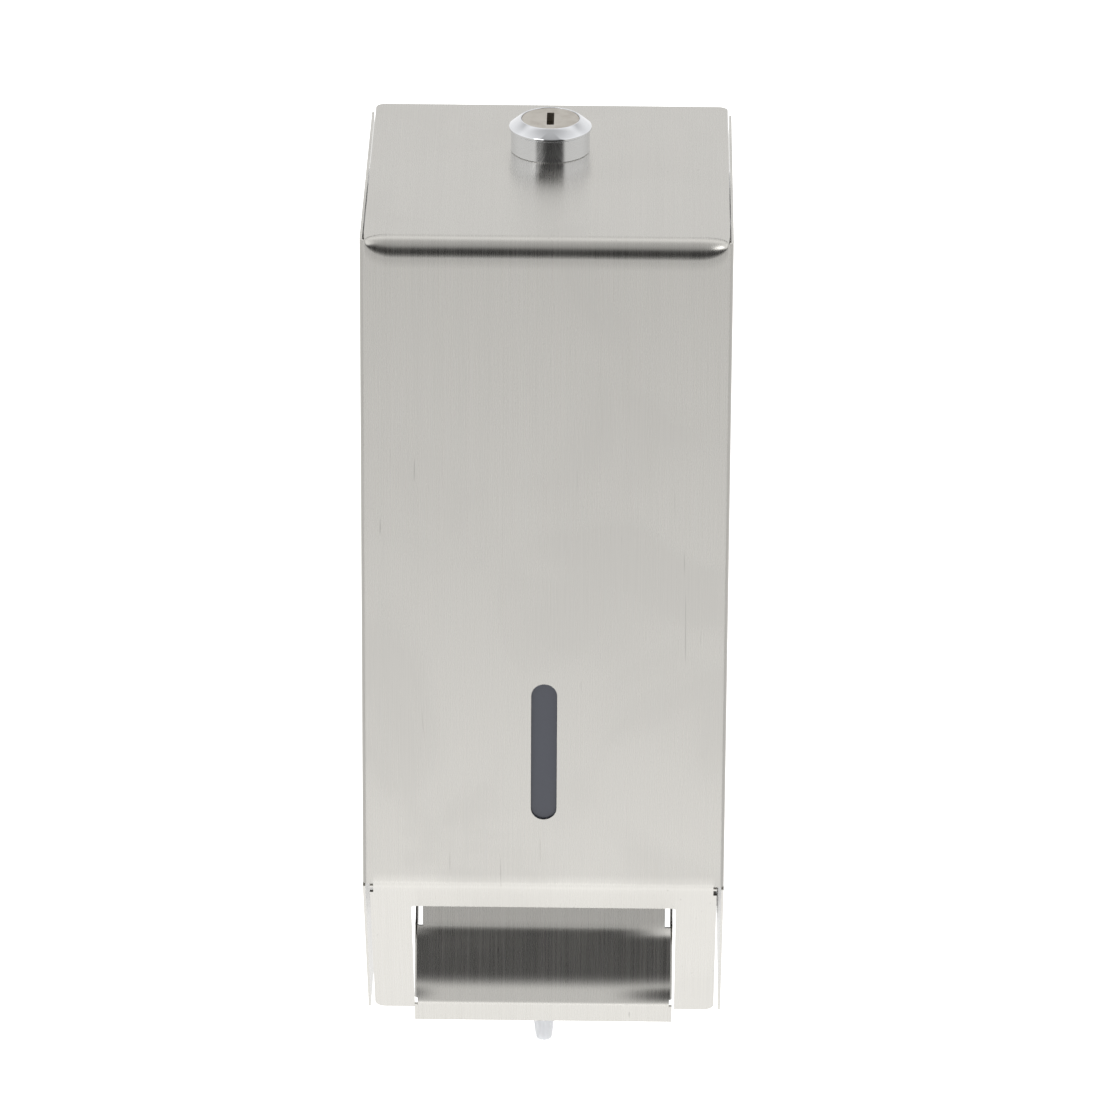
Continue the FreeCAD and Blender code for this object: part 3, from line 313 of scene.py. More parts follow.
class Tree:
    """A short way to write a node tree."""

    def __init__(self, tree: bpy.types.NodeTree) -> None:
        """Hold the tree that nodes go into."""
        self.tree = tree

    def feed(self, node: bpy.types.Node, inputs: dict) -> bpy.types.Node:
        """Set or link the inputs of a node.

        Args:
            node: the node.
            inputs: values or sockets by input name or number.

        Returns:
            The node.
        """
        for key, value in inputs.items():
            if isinstance(value, bpy.types.NodeSocket):
                self.tree.links.new(value, node.inputs[key])
            else:
                node.inputs[key].default_value = value
        return node

    def node(self, kind: str, inputs: dict | None = None, **settings: object) -> bpy.types.Node:
        """Add a node.

        Args:
            kind: Blender's name for the node, without its ShaderNode prefix.
            inputs: values or sockets by input name or number.
            settings: the node's own settings.

        Returns:
            The node.
        """
        made = self.tree.nodes.new("ShaderNode" + kind)
        for key, value in settings.items():
            setattr(made, key, value)
        return self.feed(made, inputs or {})

    def math(self, operation: str, *values: object) -> bpy.types.NodeSocket:
        """The result of a Math node on values or sockets."""
        return self.node("Math", dict(enumerate(values)), operation=operation).outputs[0]

    def ramp(self, value: bpy.types.NodeSocket, *limits: float) -> bpy.types.NodeSocket:
        """A value carried from one range to another: from low, from high, to low, to high."""
        names = ("From Min", "From Max", "To Min", "To Max")
        return self.node("MapRange", {"Value": value, **dict(zip(names, limits))},
                         interpolation_type="SMOOTHSTEP").outputs["Result"]

    def mix(self, share: object, first: object, second: object) -> bpy.types.NodeSocket:
        """A colour between two colours."""
        return self.node("Mix", {0: share, 6: first, 7: second}, data_type="RGBA").outputs[2]

    def cover(self, mask: object, strength: float, under: object, over: object) -> bpy.types.NodeSocket:
        """One colour laid over another where a mask is, at a strength."""
        return self.mix(self.math("MULTIPLY", mask, strength), under, over)

    def noise(self, vector: bpy.types.NodeSocket, scale: float, detail: float = 3.0,
              rough: float = 0.5) -> bpy.types.NodeSocket:
        """A noise value between 0 and 1."""
        values = {"Vector": vector, "Scale": scale, "Detail": detail, "Roughness": rough}
        return self.node("TexNoise", values).outputs["Fac"]

    def group(self, group: bpy.types.NodeTree, **values: object) -> bpy.types.Node:
        """Place a shared effect, with its inputs by name and underscores for spaces."""
        inputs = {key.replace("_", " "): value for key, value in values.items()}
        return self.node("Group", inputs, node_tree=group)


class Effects:
    """Surface effects that several finishes share, each built once as a node group."""

    made: dict[str, bpy.types.NodeTree] = {}

    @classmethod
    def start(cls, name: str, inputs: dict[str, float], outputs: dict[str, str]) -> tuple:
        """Open a group with a Vector input, number inputs and named outputs.

        Args:
            name: the group's name.
            inputs: number inputs and their usual values.
            outputs: output names and socket kinds.

        Returns:
            The tree helper, the input node and the output node.
        """
        group = bpy.data.node_groups.new(name, "ShaderNodeTree")
        group.interface.new_socket("Vector", in_out="INPUT", socket_type="NodeSocketVector")
        for label, usual in inputs.items():
            socket = group.interface.new_socket(label, in_out="INPUT", socket_type="NodeSocketFloat")
            socket.default_value = usual
        for label, kind in outputs.items():
            group.interface.new_socket(label, in_out="OUTPUT", socket_type="NodeSocket" + kind)
        cls.made[name] = group
        return Tree(group), group.nodes.new("NodeGroupInput"), group.nodes.new("NodeGroupOutput")

    @classmethod
    def brushed(cls) -> bpy.types.NodeTree:
        """Fine parallel lines: noise squeezed across the grain and stretched along it, in three widths.

        The vector's x and z are across and along. Streak is the lines' tone and Normal their relief.
        """
        if "brushed_lines" in cls.made:
            return cls.made["brushed_lines"]
        tree, given, result = cls.start("brushed_lines", {"Across": 5200.0, "Along": 26.0, "Depth": 0.1},
                                        {"Streak": "Float", "Normal": "Vector"})
        parts = tree.node("SeparateXYZ", {0: given.outputs["Vector"]})
        lines = []
        for share in (1.0, 0.31, 0.06):
            across = tree.math("MULTIPLY", given.outputs["Across"], share)
            along = tree.math("MULTIPLY", given.outputs["Along"], share)
            place = tree.node("CombineXYZ", {
                0: tree.math("MULTIPLY", parts.outputs[0], across),
                1: tree.math("MULTIPLY", parts.outputs[1], across),
                2: tree.math("MULTIPLY", parts.outputs[2], along)})
            lines.append(tree.noise(place.outputs[0], 1.0, 2.0))
        fine = tree.math("MULTIPLY", lines[0], 0.5)
        middle = tree.math("MULTIPLY_ADD", lines[1], 0.32, fine)
        streak = tree.math("MULTIPLY_ADD", lines[2], 0.18, middle)
        bump = tree.node("Bump", {"Strength": given.outputs["Depth"], "Distance": 2e-5, "Height": streak})
        tree.feed(result, {"Streak": streak, "Normal": bump.outputs[0]})
        return tree.tree

    @classmethod
    def handling(cls) -> bpy.types.NodeTree:
        """Traces of use: cloudy smears, sparse hairline scratches and dust on faces that look up."""
        if "handling_traces" in cls.made:
            return cls.made["handling_traces"]
        tree, given, result = cls.start("handling_traces", {"Smear Size": 22.0, "Scratch Density": 60.0},
                                        {"Smear": "Float", "Scratch": "Float", "Dust": "Float"})
        vector = given.outputs["Vector"]
        cloud = tree.node("TexNoise", {"Vector": vector, "Scale": given.outputs["Smear Size"],
                                       "Detail": 4.0, "Distortion": 0.6})
        smear = tree.ramp(cloud.outputs["Fac"], 0.42, 0.68, 0.0, 1.0)
        slant = tree.node("Mapping", {"Vector": vector, "Rotation": (0.35, 0.5, 0.2),
                                      "Scale": (1.0, 1.0, 0.03)})
        density = tree.math("MULTIPLY", given.outputs["Scratch Density"], 18.0)
        thread = tree.node("TexNoise", {"Vector": slant.outputs[0], "Detail": 0.0, "Scale": density})
        hair = tree.ramp(thread.outputs["Fac"], 0.80, 0.84, 0.0, 1.0)
        rare = tree.ramp(tree.noise(vector, 48.0, 1.0), 0.55, 0.65, 0.0, 1.0)
        facing = tree.node("SeparateXYZ", {0: tree.node("NewGeometry").outputs["Normal"]}).outputs[2]
        up = tree.ramp(facing, 0.5, 1.0, 0.0, 1.0)
        specks = tree.ramp(tree.noise(vector, 900.0, 2.0), 0.55, 0.75, 0.0, 1.0)
        tree.feed(result, {"Smear": smear, "Scratch": tree.math("MULTIPLY", hair, rare),
                           "Dust": tree.math("MULTIPLY", up, specks)})
        return tree.tree

    @classmethod
    def moulded(cls) -> bpy.types.NodeTree:
        """The skin of moulded plastic: fine orange peel, and slow flow marks in its tone."""
        if "moulded_skin" in cls.made:
            return cls.made["moulded_skin"]
        tree, given, result = cls.start("moulded_skin", {"Peel Size": 1400.0, "Depth": 0.12},
                                        {"Tone": "Float", "Normal": "Vector"})
        peel = tree.node("TexNoise", {"Vector": given.outputs["Vector"], "Scale": given.outputs["Peel Size"],
                                      "Detail": 2.0})
        flow = tree.node("Mapping", {"Vector": given.outputs["Vector"], "Scale": (30.0, 30.0, 9.0)})
        tone = tree.noise(flow.outputs[0], 1.0, 4.0, 0.6)
        bump = tree.node("Bump", {"Strength": given.outputs["Depth"], "Distance": 4e-5,
                                  "Height": peel.outputs["Fac"]})
        tree.feed(result, {"Tone": tone, "Normal": bump.outputs[0]})
        return tree.tree


# ---------------------------------------------------------------- finishes

Colour = tuple[float, float, float]


def scaled(colour: Colour, factor: float) -> tuple[float, float, float, float]:
    """A colour made lighter or darker, with full opacity."""
    return (colour[0] * factor, colour[1] * factor, colour[2] * factor, 1.0)


def varied(tree: Tree, tone: bpy.types.NodeSocket, colour: Colour, share: float) -> bpy.types.NodeSocket:
    """A colour that a tone makes darker or lighter by a share."""
    return tree.mix(tone, scaled(colour, 1.0 - share), scaled(colour, 1.0 + share))


def open_material(name: str) -> tuple[bpy.types.Material, Tree, bpy.types.Node]:
    """Start a material with one Principled shader.

    Args:
        name: the material's name.

    Returns:
        The material, its tree helper and its shader.
    """
    material = bpy.data.materials.new(name)
    material.use_nodes = True
    tree = Tree(material.node_tree)
    return material, tree, material.node_tree.nodes["Principled BSDF"]


class Grain(Enum):
    """Where a brushed finish takes its direction from."""

    SHEET = "the piece's own grain map"
    UPRIGHT = "the frame's upright axis"


@dataclass(frozen=True)
class BrushedSteel:
    """Rolled or brushed sheet: parallel lines, soft smears and hairline scratches."""

    name: str
    colour: Colour
    roughness: float
    contrast: float
    grain: Grain
    sheen_turn: float = 0.6
    across: float = 5200.0
    along: float = 26.0
    depth: float = 0.1

    def material(self) -> bpy.types.Material:
        """Build the finish as a material."""
        material, tree, shader = open_material(self.name)
        spot = tree.node("TexCoord").outputs["Object"]
        place = spot
        if self.grain is Grain.SHEET:
            sheet = tree.node("UVMap", uv_map="grain").outputs[0]
            parts = tree.node("SeparateXYZ", {0: sheet})
            place = tree.node("CombineXYZ", {0: parts.outputs[0], 2: parts.outputs[1]}).outputs[0]
            tangent = tree.node("Tangent", direction_type="UV_MAP", uv_map="grain")
            tree.feed(shader, {"Tangent": tangent.outputs[0]})
        lines = tree.group(Effects.brushed(), Vector=place, Across=self.across, Along=self.along,
                           Depth=self.depth)
        traces = tree.group(Effects.handling(), Vector=spot)
        tone = tree.ramp(lines.outputs["Streak"], 0.3, 0.7, 0.0, 1.0)
        base = varied(tree, tone, self.colour, self.contrast)
        worn = tree.cover(traces.outputs["Scratch"], 0.5, base, scaled(self.colour, 0.6))
        dusty = tree.cover(traces.outputs["Dust"], 0.05, worn, (0.75, 0.74, 0.71, 1.0))
        rough = tree.math("MULTIPLY_ADD", tone, 0.07, self.roughness - 0.03)
        rough = tree.math("MULTIPLY_ADD", traces.outputs["Smear"], 0.035, rough)
        tree.feed(shader, {"Base Color": dusty, "Roughness": rough, "Normal": lines.outputs["Normal"],
                           "Metallic": 1.0, "Anisotropic": self.sheen_turn, "Anisotropic Rotation": 0.25})
        return material


@dataclass(frozen=True)
class PlatedMetal:
    """Bright or dull plating: a smooth metal with tarnish clouds, dust and fine wear."""

    name: str
    colour: Colour
    roughness: float
    tarnish: float
    depth: float = 0.05
    clouds: float = 60.0

    def material(self) -> bpy.types.Material:
        """Build the finish as a material."""
        material, tree, shader = open_material(self.name)
        spot = tree.node("TexCoord").outputs["Object"]
        traces = tree.group(Effects.handling(), Vector=spot, Smear_Size=self.clouds, Scratch_Density=140.0)
        fine = tree.noise(spot, 2600.0, 3.0)
        cloud = tree.noise(spot, self.clouds, 5.0, 0.6)
        base = tree.cover(cloud, self.tarnish, scaled(self.colour, 1.05), scaled(self.colour, 0.55))
        worn = tree.cover(traces.outputs["Scratch"], 0.4, base, scaled(self.colour, 0.7))
        rough = tree.math("MULTIPLY_ADD", traces.outputs["Smear"], self.roughness * 0.5, self.roughness)
        rough = tree.math("MULTIPLY_ADD", traces.outputs["Dust"], 0.12, rough)
        bump = tree.node("Bump", {"Strength": self.depth, "Distance": 2e-5, "Height": fine})
        tree.feed(shader, {"Base Color": worn, "Roughness": rough, "Normal": bump.outputs[0],
                           "Metallic": 1.0})
        return material


@dataclass(frozen=True)
class MouldedPlastic:
    """Moulded plastic or rubber: orange peel, flow marks, and soft light through thin walls."""

    name: str
    colour: Colour
    roughness: float
    glow: float = 0.0
    clear: float = 0.0
    mottle: float = 0.06
    peel: float = 1400.0

    def material(self) -> bpy.types.Material:
        """Build the finish as a material."""
        material, tree, shader = open_material(self.name)
        spot = tree.node("TexCoord").outputs["Object"]
        skin = tree.group(Effects.moulded(), Vector=spot, Peel_Size=self.peel)
        traces = tree.group(Effects.handling(), Vector=spot, Scratch_Density=110.0)
        base = varied(tree, skin.outputs["Tone"], self.colour, self.mottle)
        scuffed = tree.cover(traces.outputs["Scratch"], 0.25, base, scaled(self.colour, 0.8))
        dusty = tree.cover(traces.outputs["Dust"], 0.08, scuffed, (0.62, 0.60, 0.56, 1.0))
        rough = tree.math("MULTIPLY_ADD", traces.outputs["Smear"], 0.1, self.roughness)
        tree.feed(shader, {"Base Color": dusty, "Roughness": rough, "Normal": skin.outputs["Normal"],
                           "Subsurface Weight": self.glow, "Subsurface Radius": (0.004, 0.004, 0.004),
                           "Transmission Weight": self.clear, "IOR": 1.49})
        return material


FINISHES = {
    "brushed_steel": BrushedSteel("brushed stainless sheet", (0.66, 0.645, 0.610), 0.26, 0.05, Grain.SHEET),
    "galvanised": BrushedSteel("satin steel plate", (0.56, 0.57, 0.58), 0.40, 0.07, Grain.UPRIGHT, 0.0,
                               2600.0, 60.0, 0.16),
    "chrome": PlatedMetal("bright chrome plating", (0.74, 0.75, 0.77), 0.035, 0.06, 0.03, 90.0),
    "plug_nickel": PlatedMetal("dull satin nickel", (0.60, 0.565, 0.51), 0.36, 0.35, 0.3, 240.0),
    "zinc": PlatedMetal("zinc plating", (0.62, 0.63, 0.65), 0.28, 0.30, 0.22, 130.0),
    "spring_steel": PlatedMetal("drawn spring wire", (0.58, 0.57, 0.55), 0.22, 0.25, 0.15, 200.0),
    "smoked_acrylic": MouldedPlastic("smoked acrylic", (0.062, 0.066, 0.083), 0.22, mottle=0.12, peel=300.0),
    "white_plastic": MouldedPlastic("white polypropylene", (0.78, 0.78, 0.75), 0.42, glow=0.12),
    "tank_plastic": MouldedPlastic("natural polyethylene", (0.80, 0.81, 0.77), 0.36, glow=0.35, mottle=0.04),
    "grey_plastic": MouldedPlastic("grey nylon", (0.075, 0.080, 0.085), 0.46),
    "clear_plastic": MouldedPlastic("frosted plastic", (0.80, 0.81, 0.83), 0.34, glow=0.25, clear=0.25),
    "rubber": MouldedPlastic("black rubber", (0.022, 0.022, 0.023), 0.68, mottle=0.25, peel=2400.0),
}


class Workshop:
    """Makes each finish once and puts pieces on their bodies."""

    def __init__(self) -> None:
        """Start with no materials made."""
        self.materials: dict[str, bpy.types.Material] = {}

    def finish(self, slot: str) -> bpy.types.Material:
        """The material of a slot, made when first asked for."""
        if slot not in self.materials:
            self.materials[slot] = FINISHES[slot].material()
        return self.materials[slot]

    def fit(self, piece: bpy.types.Object, body: str, slot: str, *nodes: str) -> bpy.types.Object:
        """Dress a piece, set it on its body and let it stand for CAD nodes.

        Args:
            piece: the finished object.
            body: the body that it moves with.
            slot: the material slot of its finish.
            nodes: the CAD nodes that it stands for.

        Returns:
            The piece.
        """
        piece.data.materials.append(self.finish(slot))
        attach(piece, body)
        if nodes:
            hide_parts(*nodes)
        log.info("%s rides on %s, in %s", piece.name, body, slot)
        return piece

    def dress_nodes(self) -> None:
        """Give every CAD node that stays in view the finish of its own slot."""
        for row in frame["record"]["subparts"]:
            node = frame["nodes"][row["node"]]
            if node.hide_render:
                continue
            finish = self.finish(row["material_slot"])
            if node.data.materials:
                node.data.materials[0] = finish
            else:
                node.data.materials.append(finish)
            log.info("%s keeps its own shape, in %s", node.name, row["material_slot"])


# ---------------------------------------------------------------- folded cover

@dataclass
class Cover:
    """The folded sheet: front with its sight slot, top with its lock hole, sides and the sloping flap."""

    sheet: float = 0.8
    half: float = 57.5
    front: float = -118.0
    rear: float = -0.6
    top: float = 145.0
    bend: float = -76.2
    bottom: float = -142.5
    foot: float = -74.5
    side_bend: float = 1.6
    lip_bend: float = 5.6
    lip_run: float = 9.0
    top_half: float = 56.35
    top_corner: float = 3.0
    block: float = 12.0
    slot_half: float = 4.1
    slot_top: float = -4.9
    slot_bottom: float = -52.3
    lock_y: float = -39.2
    lock_hole: float = 9.5
    slit: float = 0.5
    slit_end: float = 54.2
    bend_run: float = 1.5
    flap_half: float = 55.3
    flap_corner: float = 3.4
    cut_half: float = 42.3
    cut_top: float = -87.2
    cut_corner: float = 1.2
    clip: float = 7.5
    heel: float = 6.4
    hinge_hole: float = 2.56

    def __post_init__(self) -> None:
        """Work out the lines that the panels share."""
        low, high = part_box("front_cover")
        self.half, self.front, self.top, self.bottom = high.x / MM, low.y / MM, high.z / MM, low.z / MM
        self.edge = self.half - self.side_bend
        self.lean = math.atan2(self.foot - self.front, self.bend - self.bottom)
        self.slope = math.hypot(self.foot - self.front, self.bend - self.bottom)
        inner = self.cut_half - self.cut_corner
        half_x = chain(line(self.block, inner, 9), line(inner, 47, 3), np.array([47, 49, 51, 52.6, 53.5]),
                       np.array([53.5, self.slit_end, 54.8, self.flap_half, 55.6, 55.8, self.edge]))
        middle = line(-self.block, self.block, 24)
        self.xs = chain(-half_x[::-1], middle, half_x)
        self.upper = chain(line(self.top, self.top - self.clip, 2), line(self.top - self.clip, 12.0, 12))
        self.slot_rows = line(12.0, -69.0, 24)
        self.lower = chain(line(-69.0, self.bend + self.bend_run, 2),
                           np.array([self.bend + self.bend_run, self.bend + self.slit]))
        self.heel_rows = line(self.bottom + 2 * self.heel, self.bottom, 8)

    def lens(self, x: np.ndarray) -> np.ndarray:
        """The top bend's radius across the width.

        Formula: the full radius times a quarter ellipse that falls to nothing at each corner.
        """
        share = np.clip((self.edge - np.abs(x)) / self.lip_run, 0.0, 1.0)
        return self.lip_bend * np.sqrt(np.clip(1.0 - (1.0 - share) ** 2, 0.0, 1.0))

    def unrolled(self, points: np.ndarray, along: np.ndarray) -> np.ndarray:
        """The grain map of a front, top or flap patch: x across, and the length along the sheet."""
        return pair(points[..., 0], along)

    def ring(self, hole: np.ndarray, border: np.ndarray, steps: int = 4) -> np.ndarray:
        """Rings between a hole and a block's edge.

        Formula: each ring is a straight mix of the two loops, closer together near the hole.
        """
        share = (np.linspace(0, 1, steps + 1) ** 1.4)[:, None, None]
        return hole[None] * (1 - share) + border[None] * share

    def loop(self, across: np.ndarray, up: np.ndarray) -> np.ndarray:
        """The edge of a rectangular block, clockwise from its upper left corner."""
        first, last = up[0], up[-1]
        sides = [pair(a, u) for a, u in (
            (across[:-1], first), (across[-1], up[:-1]), (across[:0:-1], last), (across[0], up[:0:-1]))]
        return np.concatenate(sides)

    def add_front(self, surface: Surface) -> None:
        """The front panel: a grid whose upper rows end on the lens shaped bend, and the slot's rings."""
        reach = self.top - self.upper[-1]
        rise = (self.upper - self.upper[-1]) / reach
        top = self.top - self.lens(self.xs) - self.upper[-1]
        heights = self.upper[-1] + rise[:, None] * top[None]
        panel = spread(self.xs[None], self.front, heights)
        surface.grid(panel, (0, -1, 0))
        inside = np.abs(self.xs) <= self.block + NEAR
        for side in (-1, 1):
            part = self.xs[(self.xs * side >= self.block - NEAR)]
            surface.grid(spread(part[None], self.front, self.slot_rows[:, None]), (0, -1, 0))
        within = np.abs(self.xs) <= self.slit_end + NEAR
        surface.grid(spread(self.xs[within][None], self.front, self.lower[:-1, None]), (0, -1, 0))
        for side in (-1, 1):
            part = self.xs[self.xs * side >= self.slit_end - NEAR]
            surface.grid(spread(part[None], self.front, self.lower[:, None]), (0, -1, 0))
        across = self.xs[inside]
        edge = self.loop(across, self.slot_rows)
        turn = line(math.pi, 0.0, len(across) - 1)
        radius = self.slot_half
        upright = (self.slot_top - radius, self.slot_bottom + radius)
        straight = line(*upright, len(self.slot_rows) - 1)
        pieces = [
            circle(turn[:-1], radius, (0.0, upright[0])),
            pair(radius, straight[:-1]),
            circle(-turn[:0:-1], radius, (0.0, upright[1])),
            pair(-radius, straight[:0:-1])]
        rings = self.ring(np.concatenate(pieces), edge)
        surface.grid(spread(rings[..., 0], self.front, rings[..., 1]), (0, -1, 0), wrap=True)

    def add_top(self, surface: Surface) -> None:
        """The lens shaped bend and the top panel with its round rear corners and the lock's hole."""
        turn = line(0.0, math.pi / 2, 10)[:, None]
        radius = self.lens(self.xs)[None]
        bend = spread(self.xs[None], self.front + radius * (1 - np.cos(turn)),
                      self.top - radius * (1 - np.sin(turn)))
        surface.grid(bend, (0, -1, 1), self.unrolled(bend, self.top + radius * (turn - 1.0)))

        front_block, rear_block = self.lock_y - self.block, self.lock_y + self.block
        ahead = line(0.0, 1.0, 10)[:, None]
        start = self.front + self.lens(self.xs)[None]
        depth = start + (front_block - start) * ahead
        corner = np.clip(np.abs(self.xs) - (self.edge - self.top_corner), 0.0, self.top_corner)
        back = self.rear - (self.top_corner - np.sqrt(self.top_corner ** 2 - corner ** 2))
        behind = rear_block + (back[None] - rear_block) * line(0.0, 1.0, 6)[:, None]

        def lay(x: np.ndarray, y: np.ndarray) -> None:
            """Lay a flat patch at the top, widened a little behind the front corners."""
            x, y = np.broadcast_arrays(x, y)
            wide = 1 + (self.top_half / self.edge - 1) * smooth((y - self.front) / 6)
            patch = spread(x * wide, y, self.top)
            surface.grid(patch, (0, 0, 1), self.unrolled(patch, self.top + patch[..., 1] - self.front))

        lay(self.xs[None], depth)
        lay(self.xs[None], behind)
        beside = line(front_block, rear_block, 24)
        for side in (-1, 1):
            lay(self.xs[self.xs * side >= self.block - NEAR][None], beside[:, None])
        edge = self.loop(self.xs[np.abs(self.xs) <= self.block + NEAR], beside[::-1])
        turn = math.radians(135) - directions(len(edge))
        hole = circle(turn, self.lock_hole, (0.0, self.lock_y))
        rings = self.ring(hole, edge)
        wide = self.top_half / self.edge
        patch = spread(rings[..., 0] * wide, rings[..., 1], self.top)
        patch[0, :, 0] = hole[:, 0]
        grain = self.unrolled(patch, self.top + patch[..., 1] - self.front)
        surface.grid(patch, (0, 0, 1), grain, wrap=True)

    def flap_depth(self, z: np.ndarray) -> np.ndarray:
        """The depth of the flap's face at a height, on the straight line from the bend to the foot."""
        return self.foot + (z - self.bottom) * (self.front - self.foot) / (self.bend - self.bottom)

    def add_side(self, surface: Surface, side: int) -> None:
        """One side: the upright bend, the panel, the notch at the slit, the clipped top and round heel.

        Args:
            surface: the sheet.
            side: 1 for the right side, -1 for the left.
        """
        heights = chain(self.upper, self.slot_rows, self.lower)
        turn = line(0.0, math.pi / 2, 6)[None]
        bend = spread(side * (self.edge + self.side_bend * np.sin(turn)),
                      self.front + self.side_bend * (1 - np.cos(turn)), heights[:, None])
        outward = (side, -1, 0)
        turned = side * (self.edge + self.side_bend * turn)
        surface.grid(bend, outward, pair(turned, heights[:, None]))

        def lay(depth: np.ndarray, z: np.ndarray) -> None:
            """Lay a flat patch on the side."""
            depth, z = np.broadcast_arrays(depth, z)
            patch = spread(side * self.half, depth, z)
            across = side * (self.half + depth - self.front)
            surface.grid(patch, (side, 0, 0), pair(across, z))

        begin, heel_line = self.front + self.side_bend, self.rear - 2 * self.heel
        notch = begin + 0.9
        columns = chain(np.array([begin, notch, begin + 3]), line(begin + 3, heel_line, 12))
        back = line(heel_line, self.rear, 8)
        clipped = chain(line(heel_line, self.rear - self.clip, 4), line(self.rear - self.clip, self.rear, 4))
        lay(columns[None], heights[:, None])
        shoulder = self.top - self.clip
        ahead_of_clip = clipped[clipped <= self.rear - self.clip + NEAR]
        lay(ahead_of_clip[None], heights[heights >= shoulder - NEAR][:, None])
        lay(clipped[None], heights[heights <= shoulder + NEAR][:, None])
        low_slit = self.bend - self.slit
        slit_rows = np.array([heights[-1], low_slit])[:, None]
        lay(columns[1:][None], slit_rows)
        lay(clipped[None], slit_rows)
        rows = chain(line(low_slit, self.heel_rows[0], 12), self.heel_rows)
        first = self.flap_depth(np.array(low_slit))
        depth = self.flap_depth(rows)[:, None]
        ahead = np.concatenate([[first], columns[1:]])[None]
        lay(depth + (ahead - first) * (heel_line - depth) / (heel_line - first), rows[:, None])
        lay(clipped[None], rows[rows >= self.heel_rows[0] - NEAR][:, None])
        centre = np.array([self.rear - self.heel, self.bottom + self.heel])
        edge = self.loop(clipped, self.heel_rows)
        offset = edge - centre
        direction = np.arctan2(offset[:, 1], offset[:, 0])
        corner = (offset[:, 0] > NEAR) & (offset[:, 1] < -NEAR)
        arc = circle(direction, self.heel, centre)
        edge = np.where(corner[:, None], arc, edge)
        hole = circle(direction, self.hinge_hole, centre)
        rings = self.ring(hole, edge, 3)
        patch = spread(side * self.half, rings[..., 0], rings[..., 1])
        across = side * (self.half + rings[..., 0] - self.front)
        surface.grid(patch, (side, 0, 0), pair(across, rings[..., 1]), wrap=True)

    def add_flap(self, surface: Surface) -> None:
        """The soft bend under the front, and the flap: a band above the cut-out and a leg each side."""
        inner = self.cut_half - self.cut_corner
        outward = (0, -math.cos(self.lean), -math.sin(self.lean))

        def lay(x: np.ndarray, run: np.ndarray) -> None:
            """Lay a patch on the slope at a distance below the corner line."""
            x, run = np.broadcast_arrays(x, run)
            patch = spread(x, self.front + run * math.sin(self.lean), self.bend - run * math.cos(self.lean))
            surface.grid(patch, outward, self.unrolled(patch, self.bend - run))

        middle = self.xs[np.abs(self.xs) <= self.slit_end + NEAR]
        radius = self.bend_run / math.tan(self.lean / 2)
        turn = line(0.0, self.lean, 5)[:, None]
        bend = spread(middle[None], self.front + radius * (1 - np.cos(turn)),
                      self.bend + self.bend_run - radius * np.sin(turn))
        surface.grid(bend, (0, -1, 0), self.unrolled(bend, self.bend + self.bend_run - radius * turn))
        cut = (self.bend - self.cut_top) / math.cos(self.lean)
        band = line(self.bend_run, cut, 4)
        lay(middle[None], band[:, None])
        tip = self.flap_half - self.flap_corner
        down = chain(cut + self.cut_corner * (1 - np.cos(line(0.0, math.pi / 2, 5))),
                     line(cut + self.cut_corner, self.slope - self.flap_corner, 14),
                     self.slope - self.flap_corner * (1 - np.sin(line(0.0, math.pi / 2, 7))))[:, None]
        hook = np.clip(1 - (down - cut) / self.cut_corner, 0.0, 1.0)
        inside = inner + self.cut_corner * np.sqrt(np.clip(1 - hook ** 2, 0.0, 1.0))
        drop = np.clip((down - self.slope + self.flap_corner) / self.flap_corner, 0.0, 1.0)
        outside = tip + self.flap_corner * np.sqrt(np.clip(1 - drop ** 2, 0.0, 1.0))
        for side in (-1, 1):
            part = np.sort(np.abs(self.xs[self.xs * side >= inner - NEAR]))
            part = part[part <= self.flap_half + NEAR]
            share = (part - part[0]) / (part[-1] - part[0])
            lay(side * (inside + (outside - inside) * share[None]), down)
            ear = part[part >= self.slit_end - NEAR]
            # The ears start one row below the bend, which leaves a small notch beside each slit.
            lay(side * ear[None], band[1:][:, None])
            lay(side * ear[None], np.array([self.slit, self.bend_run])[:, None])

    def build(self, shop: Workshop) -> None:
        """Make the sheet and fit it in place of the plain cover."""
        surface = Surface()
        self.add_front(surface)
        self.add_top(surface)
        self.add_flap(surface)
        for side in (-1, 1):
            self.add_side(surface, side)
        piece = surface.make("cover_sheet", 25.0)
        thicken(piece, self.sheet)
        soften(piece, 0.14, 50.0)
        shop.fit(piece, "cover", "brushed_steel", "front_cover")


# ---------------------------------------------------------------- push lever

